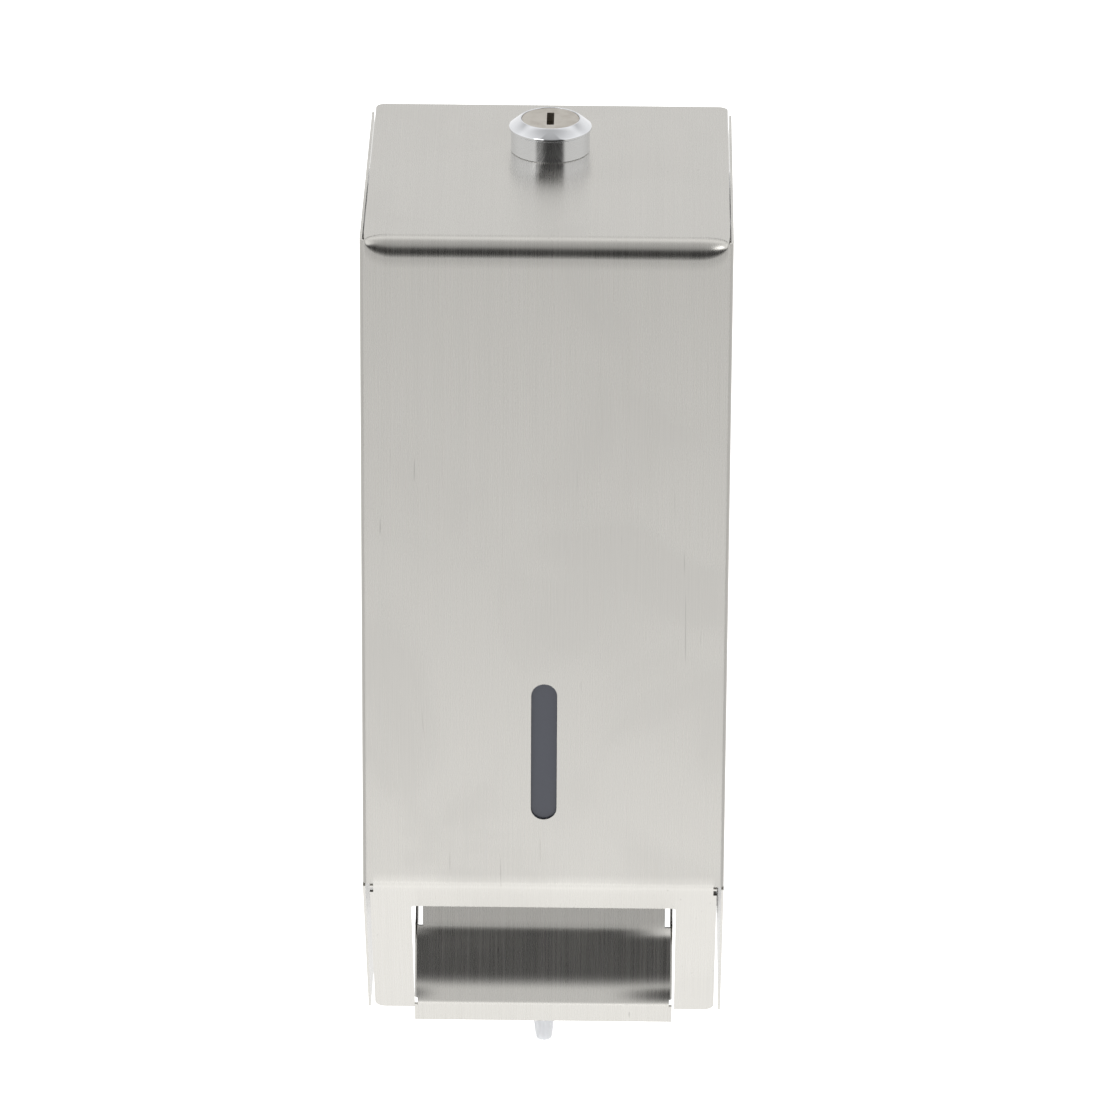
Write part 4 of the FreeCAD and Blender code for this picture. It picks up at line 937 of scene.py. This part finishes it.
@dataclass
class Lever:
    """The push lever: a plate that leans out, curls to a down-turned lip, and has folded ears."""

    sheet: float = 0.8
    half: float = 41.5
    band_half: float = 39.0
    start_y: float = -95.9
    start_z: float = -86.0
    band_end: float = 15.0
    crease: float = 41.0
    lip: float = 7.2
    band_lean: float = 5.8
    plate_lean: float = 16.0
    foot_lean: float = 4.0
    lip_lean: float = -14.0
    fold: float = 0.9
    pivot_y: float = -86.0
    pivot_z: float = -86.0
    eye: float = 3.0
    pillow: float = 0.5

    def profile(self, run: np.ndarray) -> tuple[np.ndarray, np.ndarray]:
        """The plate's middle line.

        Formula: the lean is a chain of eased steps from band to plate, plate to foot and foot to lip,
        and depth and height are its running sums of sine and cosine.

        Args:
            run: distances down the plate, from its upper edge.

        Returns:
            The depth and the height at each distance.
        """
        fine = np.linspace(0.0, self.crease + self.lip, 1200)
        lean = (self.band_lean + (self.plate_lean - self.band_lean) * smooth((fine - self.band_end) / 1.6)
                + (self.foot_lean - self.plate_lean) * smooth((fine - 30.0) / 6.0)
                + (self.lip_lean - self.foot_lean) * smooth((fine - self.crease + 0.8) / 1.6))
        step = np.diff(fine, prepend=0.0)
        depth = self.start_y - np.cumsum(np.sin(np.radians(lean)) * step)
        height = self.start_z - np.cumsum(np.cos(np.radians(lean)) * step)
        return np.interp(run, fine, depth), np.interp(run, fine, height)

    def bow(self, x: np.ndarray, run: np.ndarray) -> np.ndarray:
        """How far the pressed plate falls back near its sides, as an eased square of the distance."""
        right = smooth((x - 20.0) / 26.0) * self.pillow * 1.6
        left = smooth((-x - 33.0) / 10.0) * self.pillow * 0.7
        held = smooth((run - self.band_end) / 4.0) * (1 - smooth((run - self.crease + 6.0) / 5.0))
        return (right + left) * held

    def add_plate(self, surface: Surface) -> None:
        """The band, the leaning plate, its rolled sides and the lip."""
        band = line(0.0, self.band_end, 8)
        plate = chain(line(self.band_end, self.crease - 1.0, 30),
                      line(self.crease - 1.0, self.crease + 1.0, 6))
        tail = line(self.crease + 1.0, self.crease + self.lip, 6)
        inner = self.half - self.fold
        edge = np.array([self.band_half, 40.0, inner])
        middle = line(-self.band_half, self.band_half, 40)
        whole = chain(-edge[::-1], middle, edge)

        def lay(x: np.ndarray, run: np.ndarray) -> None:
            """Lay part of the plate over a range of x and of distance down it."""
            x, run = np.broadcast_arrays(x, run)
            depth, height = self.profile(run)
            patch = spread(x, depth + self.bow(x, run), height)
            surface.grid(patch, (0, -1, 0), pair(x, -run))

        lay(middle[None], band[:, None])
        lay(whole[None], plate[:, None])
        lay(whole[None], tail[:, None])
        turn = line(0.0, math.pi / 2, 5)[None]
        rolled = plate[plate <= self.crease - 1.6][:, None]
        depth, height = self.profile(rolled)
        reach = 1.2 + 5.0 * (1 - smooth((rolled - self.band_end - 8.0) / 12.0))
        for side in (-1, 1):
            flare = side * np.array([inner, self.half])
            lay(flare[None], chain(line(self.crease + 0.4, self.crease + 1.0, 1), tail)[:, None])
            back = depth + self.bow(side * inner + 0 * rolled, rolled)
            roll = spread(side * (inner + self.fold * np.sin(turn)), back + self.fold * (1 - np.cos(turn)),
                          height)
            grain = pair(side * (inner + self.fold * turn), -rolled)
            surface.grid(roll, (side, -1, 0), grain)
            far = line(0.0, 1.0, 3)[None]
            flange = spread(side * self.half, back + self.fold + reach * far, height)
            grain = pair(side * (self.half + reach * far), -rolled)
            surface.grid(flange, (side, 0, 0), grain)

    def add_ears(self, surface: Surface) -> None:
        """The folded ears: rings between the pivot's eye and the ear's outline."""
        corners = np.array([(-96.4, -101.7), (-100.0, -115.6), (-92.0, -116.0), (-79.0, -100.0),
                            (-79.0, -84.0), (-82.0, -80.5), (-90.0, -80.5), (-92.4, -84.0), (-93.0, -98.0)])
        angles = directions(72)
        pivot = (self.pivot_y, self.pivot_z)
        edge = around(corners, pivot, angles)
        hole = circle(angles, self.eye, pivot)
        share = line(0.0, 1.0, 4)[:, None, None]
        rings = hole[None] * (1 - share) + edge[None] * share
        for side in (-1, 1):
            ear = spread(side * (self.half - 0.06), rings[..., 0], rings[..., 1])
            surface.grid(ear, (side, 0, 0), rings, wrap=True)

    def build(self, shop: Workshop) -> None:
        """Make the lever and fit it in place of the plain one."""
        surface = Surface()
        self.add_plate(surface)
        self.add_ears(surface)
        piece = surface.make("lever_plate", 30.0)
        thicken(piece, self.sheet)
        soften(piece, 0.12, 50.0)
        shop.fit(piece, "lever", "brushed_steel", "push_lever")


# ---------------------------------------------------------------- lock

@dataclass
class Lock:
    """The cam lock's chrome head and threaded shank, and the turning plug with its keyway."""

    y: float = -39.2
    top: float = 145.0
    body: float = 12.55
    rim: float = 13.05
    step: float = 7.2
    rim_top: float = 8.1
    face: float = 10.5
    ring: float = 9.6
    bore: float = 9.16
    plug: float = 9.1
    recess: float = 9.1
    neck: float = 6.0
    shank: float = 9.4
    shank_length: float = 15.0
    pitch: float = 1.0
    key_half_x: float = 1.15
    key_half_y: float = 5.3
    key_depth: float = 7.5
    tail: float = 3.5
    seat: float = 0.02
    thread: float = 0.6
    play: float = 0.1
    lip: float = 0.3

    def build(self, shop: Workshop) -> None:
        """Make the head, its thread and the plug."""
        centre = (0.0, self.y, self.top)
        head = Surface()
        root, inside, undercut = self.shank - self.thread, self.neck + self.play, self.body - self.lip
        profile = [(root, self.seat), (self.body - 0.15, self.seat), (self.body, 0.2), (self.body, 3.6),
                   (self.body, self.step - 0.25), (undercut, self.step - 0.12), (undercut, self.step),
                   (self.rim - 0.12, self.step), (self.rim, self.step + 0.12),
                   (self.rim, self.rim_top - 0.2),
                   (self.rim - 0.2, self.rim_top + 0.12), (self.ring + 0.25, self.face - 0.14),
                   (self.ring, self.face), (self.bore + 0.08, self.face), (self.bore, self.face - 0.1),
                   (self.bore, self.recess), (inside, self.recess - 0.05), (inside, self.seat),
                   (root, self.seat)]
        head.grid(turned_rings(profile, centre, 128), wrap=True)
        piece = head.make("lock_head", 28.0, closed=True)
        soften(piece, 0.1, 28.0, 3)
        shop.fit(piece, "cover", "chrome", "lock_housing")

        thread = Surface()
        turn = directions(96)[None]
        height = line(-self.shank_length, 0.0, 120)[:, None]
        wave = np.abs((height / self.pitch - turn / (2 * math.pi)) % 1.0 - 0.5) * 2
        radius = root + 0.58 * wave * smooth((height + self.shank_length) / 1.5)
        walls = [spread(reach * np.cos(turn), self.y + reach * np.sin(turn), self.top + height)
                 for reach in (radius, inside)]
        loop = np.concatenate([walls[0], walls[1][::-1], walls[0][:1]])
        thread.grid(loop, wrap=True)
        shop.fit(thread.make("lock_thread", 60.0, closed=True), "cover", "zinc")
        self.build_plug(shop, centre)

    def build_plug(self, shop: Workshop, centre: tuple[float, float, float]) -> None:
        """The plug: a face ringed about the keyway, the keyway's walls and wards, and the turned tail.

        Args:
            shop: the workshop.
            centre: where the lock's axis meets the top panel.
        """
        surface = Surface()
        angles = directions(96)
        corners = np.array([(-1, -1), (1, -1), (1, 1), (-1, 1)]) * (self.key_half_x, self.key_half_y)
        key = around(corners, (0.0, 0.0), angles)
        rim = circle(angles, self.plug)
        share = line(0.0, 1.0, 6)[:, None, None]
        rings = key[None] * (1 - share) + (rim * 0.985)[None] * share
        dish = self.face - 0.1 - 0.18 * (np.linspace(0, 1, 7) - 0.85)[:, None] ** 2 + 0 * rings[..., 0]
        face = spread(rings[..., 0], rings[..., 1], dish)
        deep = line(0.0, 1.0, 8)[:, None]
        ward = 1.0 - 0.22 * np.exp(-((deep - 0.55) / 0.12) ** 2) * (key[:, 1] > 0.8)[None]
        walls = spread(key[None, :, 0] * ward, key[None, :, 1], dish[0][None] - self.key_depth * deep)
        floor_z = float(walls[-1, 0, 2])
        inward = np.array([1.0, 0.0])[:, None]
        floor = spread(key[None, :, 0] * inward, key[None, :, 1] * inward, floor_z)
        tail_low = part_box("lock_plug")[0].z / MM - self.top
        outer = [(self.plug, self.face - 0.25), (self.plug, self.recess), (self.neck, self.recess),
                 (self.neck, tail_low + 2.0), (self.tail, tail_low + 2.0), (self.tail, tail_low),
                 (0.0, tail_low)]
        body = turned_rings(outer, (0, 0, 0), 96)
        whole = np.concatenate([floor[::-1], walls[::-1], face, body]) + np.array(centre)
        surface.grid(whole, wrap=True)
        piece = surface.make("lock_plug_face", 30.0, closed=True)
        soften(piece, 0.06, 40.0, 2)
        shop.fit(piece, "lock", "plug_nickel", "lock_plug")


# ---------------------------------------------------------------- tank, lid and nozzle

@dataclass
class Tank:
    """The blow moulded tank with soft edges and ribs, its lid, and the frosted nozzle."""

    centre_y: float = -54.0
    half_x: float = 49.5
    half_y: float = 50.0
    low: float = -46.0
    high: float = 88.0
    corner: float = 7.0
    wall: float = 2.0
    mouth_y: float = -58.0
    collar_x: float = 39.0
    collar_y: float = 35.0
    collar_top: float = 91.0
    outlet_y: float = -45.0
    spigot: float = 13.0
    spigot_low: float = -62.0
    edge: float = 5.0
    lid_x: float = 42.0
    lid_y: float = 38.0
    lid_low: float = 88.2
    lid_top: float = 93.2
    lid_corner: float = 5.0
    lid_wall: float = 2.0
    grip_x: float = 14.0
    grip_y: float = 3.0
    grip_corner: float = 2.0
    grip_top: float = 98.7
    ribs: tuple[float, float] = (-24.0, 64.0)

    def ring_at(self, outline: np.ndarray, centre: tuple[float, float], z: float,
                angles: np.ndarray, middle: tuple[float, float]) -> np.ndarray:
        """One loop of the loft: an outline set about its centre, read along directions from the middle."""
        return spread(*around(outline + np.array(centre), middle, angles).T, z)

    def outline(self, half_x: float, half_y: float, corner: float) -> np.ndarray:
        """A rounded outline with the same number of points for every loop of the lofts.

        Args:
            half_x: half the width.
            half_y: half the depth.
            corner: the corners' radius.

        Returns:
            The outline's points.
        """
        return rounded_outline(half_x, half_y, corner, 9, 7)

    def wall_outline(self, inset: float) -> np.ndarray:
        """The tank's outline drawn in by an inset, with corners that stay soft."""
        return self.outline(self.half_x - inset, self.half_y - inset, max(self.corner - inset, 1.5))

    def build_body(self, shop: Workshop) -> None:
        """Loft the tank from its spigot, over its round edges and ribbed walls, to the mouth's collar."""
        main = self.wall_outline(0.0)
        angles = np.sort(np.arctan2(main[:, 1], main[:, 0]))
        turn = line(0.0, math.pi / 2, 6)
        loops = []
        for radius, z in ((self.spigot, self.spigot_low), (self.spigot, self.low - 2.0),
                          (self.spigot + 0.6, self.low - 0.6), (self.spigot + 2.0, self.low)):
            loops.append(spread(*circle(angles, radius, (0.0, self.outlet_y)).T, z))
        middle = (0.0, self.centre_y)
        rounds = [(self.edge * (1 - math.sin(angle)), self.edge * (1 - math.cos(angle))) for angle in turn]
        rows = [(inset, self.low + rise) for inset, rise in rounds]
        for level in self.ribs:
            rows += [(0.0, level - 2.4), (0.55, level - 1.2), (0.55, level + 1.2), (0.0, level + 2.4)]
        rows += [(inset, self.high - rise) for inset, rise in reversed(rounds)]
        loops += [self.ring_at(self.wall_outline(inset), middle, z, angles, middle) for inset, z in rows]
        collar = self.outline(self.collar_x, self.collar_y, 3.0)
        grown = self.outline(self.collar_x + 0.9, self.collar_y + 0.9, 3.5)
        for outline, z in ((grown, self.high), (collar, self.high + 0.5), (collar, self.collar_top)):
            loops.append(self.ring_at(outline, (0.0, self.mouth_y), z, angles, (0.0, self.mouth_y)))
        surface = Surface().grid(np.stack(loops), wrap=True)
        piece = surface.make("tank_shell", 50.0)
        shell = bmesh.new()
        shell.from_mesh(piece.data)
        heart = Vector((0, self.centre_y * MM, 0.02))
        outward = sum((face.normal.dot(face.calc_center_median() - heart) * face.calc_area()
                       for face in shell.faces), 0.0)
        if outward < 0:
            bmesh.ops.reverse_faces(shell, faces=shell.faces)
        shell.to_mesh(piece.data)
        shell.free()
        thicken(piece, self.wall)
        shop.fit(piece, "chassis", "tank_plastic", "tank")

    def build_lid(self, shop: Workshop) -> None:
        """The lid: a shallow skirted cap with a pressed panel and a rounded grip."""
        middle = (0.0, self.mouth_y)
        outline = self.outline(self.lid_x, self.lid_y, self.lid_corner)
        angles = np.sort(np.arctan2(outline[:, 1], outline[:, 0]))
        rows = [(0.0, self.lid_low), (0.0, self.lid_top - 1.4), (0.3, self.lid_top - 0.5),
                (1.2, self.lid_top), (5.0, self.lid_top), (5.8, self.lid_top - 0.7), (8.0, self.lid_top - 0.7),
                (8.8, self.lid_top), (20.0, self.lid_top)]
        loops = []
        for inset, z in rows:
            drawn = self.outline(self.lid_x - inset, self.lid_y - inset, max(self.lid_corner - inset, 1.5))
            loops.append(self.ring_at(drawn, middle, z, angles, middle))
        loops.append(spread(0 * angles, self.mouth_y, self.lid_top))
        cap = Surface().grid(np.stack(loops), wrap=True).make("tank_lid_cap", 50.0)
        first, heart = cap.data.polygons[0], Vector((0, self.mouth_y * MM, 0.09))
        inside_out = first.normal.dot(first.center - heart) < 0
        thicken(cap, -self.lid_wall if inside_out else self.lid_wall)
        shop.fit(cap, "lid", "white_plastic", "tank_lid")
        rows = [(2.2, self.lid_top - 0.4), (0.6, self.lid_top + 0.6), (0.0, self.lid_top + 2.0),
                (0.0, self.grip_top - 1.2), (0.4, self.grip_top - 0.4), (1.2, self.grip_top)]
        grip_outline = self.outline(self.grip_x, self.grip_y, self.grip_corner)
        turned = np.sort(np.arctan2(grip_outline[:, 1], grip_outline[:, 0]))
        loops = [spread(0 * turned, self.mouth_y, rows[0][1])]
        for inset, z in rows:
            side = inset * 0.6
            drawn = self.outline(self.grip_x - inset, self.grip_y - side, max(self.grip_corner - side, 0.5))
            loops.append(self.ring_at(drawn, middle, z, turned, middle))
        loops.append(spread(0 * turned, self.mouth_y, self.grip_top))
        grip = Surface().grid(np.stack(loops), wrap=True).make("tank_lid_grip", 50.0, closed=True)
        shop.fit(grip, "lid", "white_plastic")

    def build_nozzle(self, shop: Workshop) -> None:
        """The nozzle: a sleeve that tapers to a soft tip, with its bore."""
        low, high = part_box("nozzle")
        tip, top = low.z / MM, high.z / MM
        y = (low.y + high.y) / 2 / MM
        profile = [(5.05, top), (6.0, top), (6.2, top - 0.3), (6.2, -134.2), (5.9, -135.4), (4.5, -137.2),
                   (3.6, -139.0), (3.45, -140.5), (3.3, -143.0), (2.95, tip + 2.6), (2.7, tip + 0.7),
                   (2.45, tip + 0.15), (2.1, tip), (1.6, tip + 0.1), (1.5, tip + 1.0), (1.5, -132.0),
                   (2.6, -129.4), (5.05, -128.6), (5.05, top)]
        surface = Surface().grid(turned_rings(profile, (0.0, y, 0.0), 64), wrap=True)
        shop.fit(surface.make("nozzle_tip", 40.0, closed=True), "chassis", "clear_plastic", "nozzle")

    def build(self, shop: Workshop) -> None:
        """Make the tank, its lid and the nozzle."""
        self.build_body(shop)
        self.build_lid(shop)
        self.build_nozzle(shop)


# ---------------------------------------------------------------- studio

@dataclass
class Studio:
    """A pale floor far below, even soft light with a dark front opening, and the camera."""

    eye: tuple[float, float, float] = (0.0284, -2.2720, 1.0155)
    yaw: float = -0.0094
    pitch: float = 0.4130
    roll: float = -0.0067
    lens: float = 247.9
    shift_x: float = -0.0197
    shift_y: float = -0.08
    floor: float = -1.2
    floor_half: float = 20.0

    def build_camera(self) -> None:
        """Aim the camera: forward from yaw and pitch, then the picture axes turned by the roll."""
        level = math.cos(self.pitch)
        forward = Vector((math.sin(self.yaw) * level, math.cos(self.yaw) * level, -math.sin(self.pitch)))
        right = Vector((math.cos(self.yaw), -math.sin(self.yaw), 0.0))
        down = forward.cross(right)
        side = right * math.cos(self.roll) + down * math.sin(self.roll)
        up = right * math.sin(self.roll) - down * math.cos(self.roll)
        data = bpy.data.cameras.new("camera")
        data.lens, data.sensor_width = self.lens, 36.0
        data.shift_x, data.shift_y = self.shift_x, self.shift_y
        data.clip_start, data.clip_end = 0.1, 100.0
        camera = bpy.data.objects.new("camera", data)
        bpy.context.scene.collection.objects.link(camera)
        turn = Matrix((side, up, -forward)).transposed().to_4x4()
        camera.matrix_world = Matrix.Translation(self.eye) @ turn
        bpy.context.scene.camera = camera

    def build_floor(self) -> None:
        """A plain white floor, left out of reflections so that they show the soft light alone."""
        far = self.floor_half
        mesh = bpy.data.meshes.new("floor")
        mesh.from_pydata([(-far, -far, self.floor), (far, -far, self.floor), (far, far, self.floor),
                          (-far, far, self.floor)], [], [(0, 1, 2, 3)])
        floor = bpy.data.objects.new("floor", mesh)
        bpy.context.scene.collection.objects.link(floor)
        material, tree, shader = open_material("pale floor")
        tree.feed(shader, {"Base Color": (0.9, 0.9, 0.9, 1.0), "Roughness": 1.0,
                           "Emission Color": (1.0, 1.0, 1.0, 1.0), "Emission Strength": 1.0})
        mesh.materials.append(material)
        floor.visible_glossy = False

    def tone(self, tree: Tree, height: bpy.types.NodeSocket,
             stops: list[tuple[float, float]]) -> bpy.types.NodeSocket:
        """A brightness by elevation: a ramp over the sine of the elevation, held between named stops.

        Args:
            tree: the world's tree.
            height: the sine of the elevation.
            stops: elevation in degrees and brightness, from below to above.

        Returns:
            The ramp's colour.
        """
        ramp = tree.node("ValToRGB", {"Fac": tree.math("MULTIPLY_ADD", height, 0.5, 0.5)})
        elements = ramp.color_ramp.elements
        places = [(math.sin(math.radians(angle)) * 0.5 + 0.5, level / 1.5) for angle, level in stops]
        elements[0].position, elements[1].position = places[0][0], places[-1][0]
        for element, (_, level) in zip((elements[0], elements[1]), (places[0], places[-1])):
            element.color = (level, level, level, 1.0)
        for position, level in places[1:-1]:
            elements.new(position).color = (level, level, level, 1.0)
        return ramp.outputs[0]

    def build_world(self) -> None:
        """The room's light by direction: white below and above, a dark opening ahead, soft grey behind."""
        world = bpy.data.worlds.new("studio light")
        bpy.context.scene.world = world
        world.use_nodes = True
        tree = Tree(world.node_tree)
        tree.tree.nodes.clear()
        direction = tree.node("TexCoord").outputs["Generated"]
        x, y, z = tree.node("SeparateXYZ", {0: direction}).outputs
        front = self.tone(tree, z, [(-90, 1.5), (-65, 1.2), (-50, 0.84), (-42, 1.0), (-36, 1.45), (-29, 1.5),
                                    (-26.5, 0.88), (-24, 0.80), (-21, 0.76), (-17, 0.52), (-12, 0.24),
                                    (-3, 0.10), (3, 0.03), (38, 0.03), (50, 0.35), (90, 0.55)])
        side = self.tone(tree, z, [(-90, 1.2), (-40, 0.85), (-20, 0.62), (0, 0.62), (18, 1.0), (40, 1.05),
                                   (60, 0.8), (90, 0.55)])
        rear = self.tone(tree, z, [(-90, 1.2), (0, 1.0), (18, 0.95), (26, 0.86), (40, 0.62), (55, 1.1),
                                   (72, 1.0), (90, 0.55)])
        level = tree.math("SUBTRACT", 1.0, tree.math("MULTIPLY", z, z))
        flat = tree.math("SQRT", tree.math("MAXIMUM", level, 1e-4))
        ahead = tree.math("DIVIDE", tree.math("MULTIPLY", y, -1.0), flat)
        centred = tree.ramp(ahead, math.cos(math.radians(46)), math.cos(math.radians(36)), 0.0, 1.0)
        behind = tree.ramp(ahead, -0.8, -0.2, 1.0, 0.0)
        light = tree.mix(behind, tree.mix(centred, side, front), rear)
        room = tree.node("Background", {"Color": light, "Strength": 1.5})
        plain = tree.node("Background", {"Color": (1.0, 1.0, 1.0, 1.0), "Strength": 1.0})
        seen = tree.node("LightPath").outputs["Is Camera Ray"]
        choice = tree.node("MixShader", {0: seen, 1: room.outputs[0], 2: plain.outputs[0]})
        tree.node("OutputWorld", {0: choice.outputs[0]})

    def add_light(self, name: str, place: tuple, aim: tuple, size: tuple, power: float) -> None:
        """Add a soft light panel that the camera doesn't see.

        Args:
            name: the light's name.
            place: its centre in metres.
            aim: the point it faces.
            size: its width and height.
            power: its power in watts.
        """
        data = bpy.data.lights.new(name, "AREA")
        data.shape = "ELLIPSE"
        data.size, data.size_y = size
        data.energy = power
        lamp = bpy.data.objects.new(name, data)
        bpy.context.scene.collection.objects.link(lamp)
        lamp.location = place
        lamp.rotation_euler = (Vector(aim) - Vector(place)).to_track_quat("-Z", "Y").to_euler()
        lamp.visible_camera = False

    def build(self) -> None:
        """Set up the camera, the floor and the light."""
        self.build_camera()
        self.build_floor()
        self.build_world()
        self.add_light("low card", (0.0, -0.60, -0.45), (0.0, -0.60, 0.0), (0.85, 0.62), 0.35)
        self.add_light("key", (-0.9, -1.2, 1.6), (0.0, -0.05, 0.0), (0.9, 0.9), 4.0)
        scene = bpy.context.scene
        scene.view_settings.view_transform = "Standard"
        scene.view_settings.look = "None"


def write_sizes() -> None:
    """Bring the view layer up to date."""
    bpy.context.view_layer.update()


def main() -> None:
    """Build every sub-assembly in order, then the studio."""
    logging.basicConfig(level=logging.INFO, format="%(message)s")
    shop = Workshop()
    for assembly in (Cover(), Lever(), Lock(), Tank()):
        assembly.build(shop)
    shop.dress_nodes()
    Studio().build()
    write_sizes()


if __name__ == "__main__":
    main()
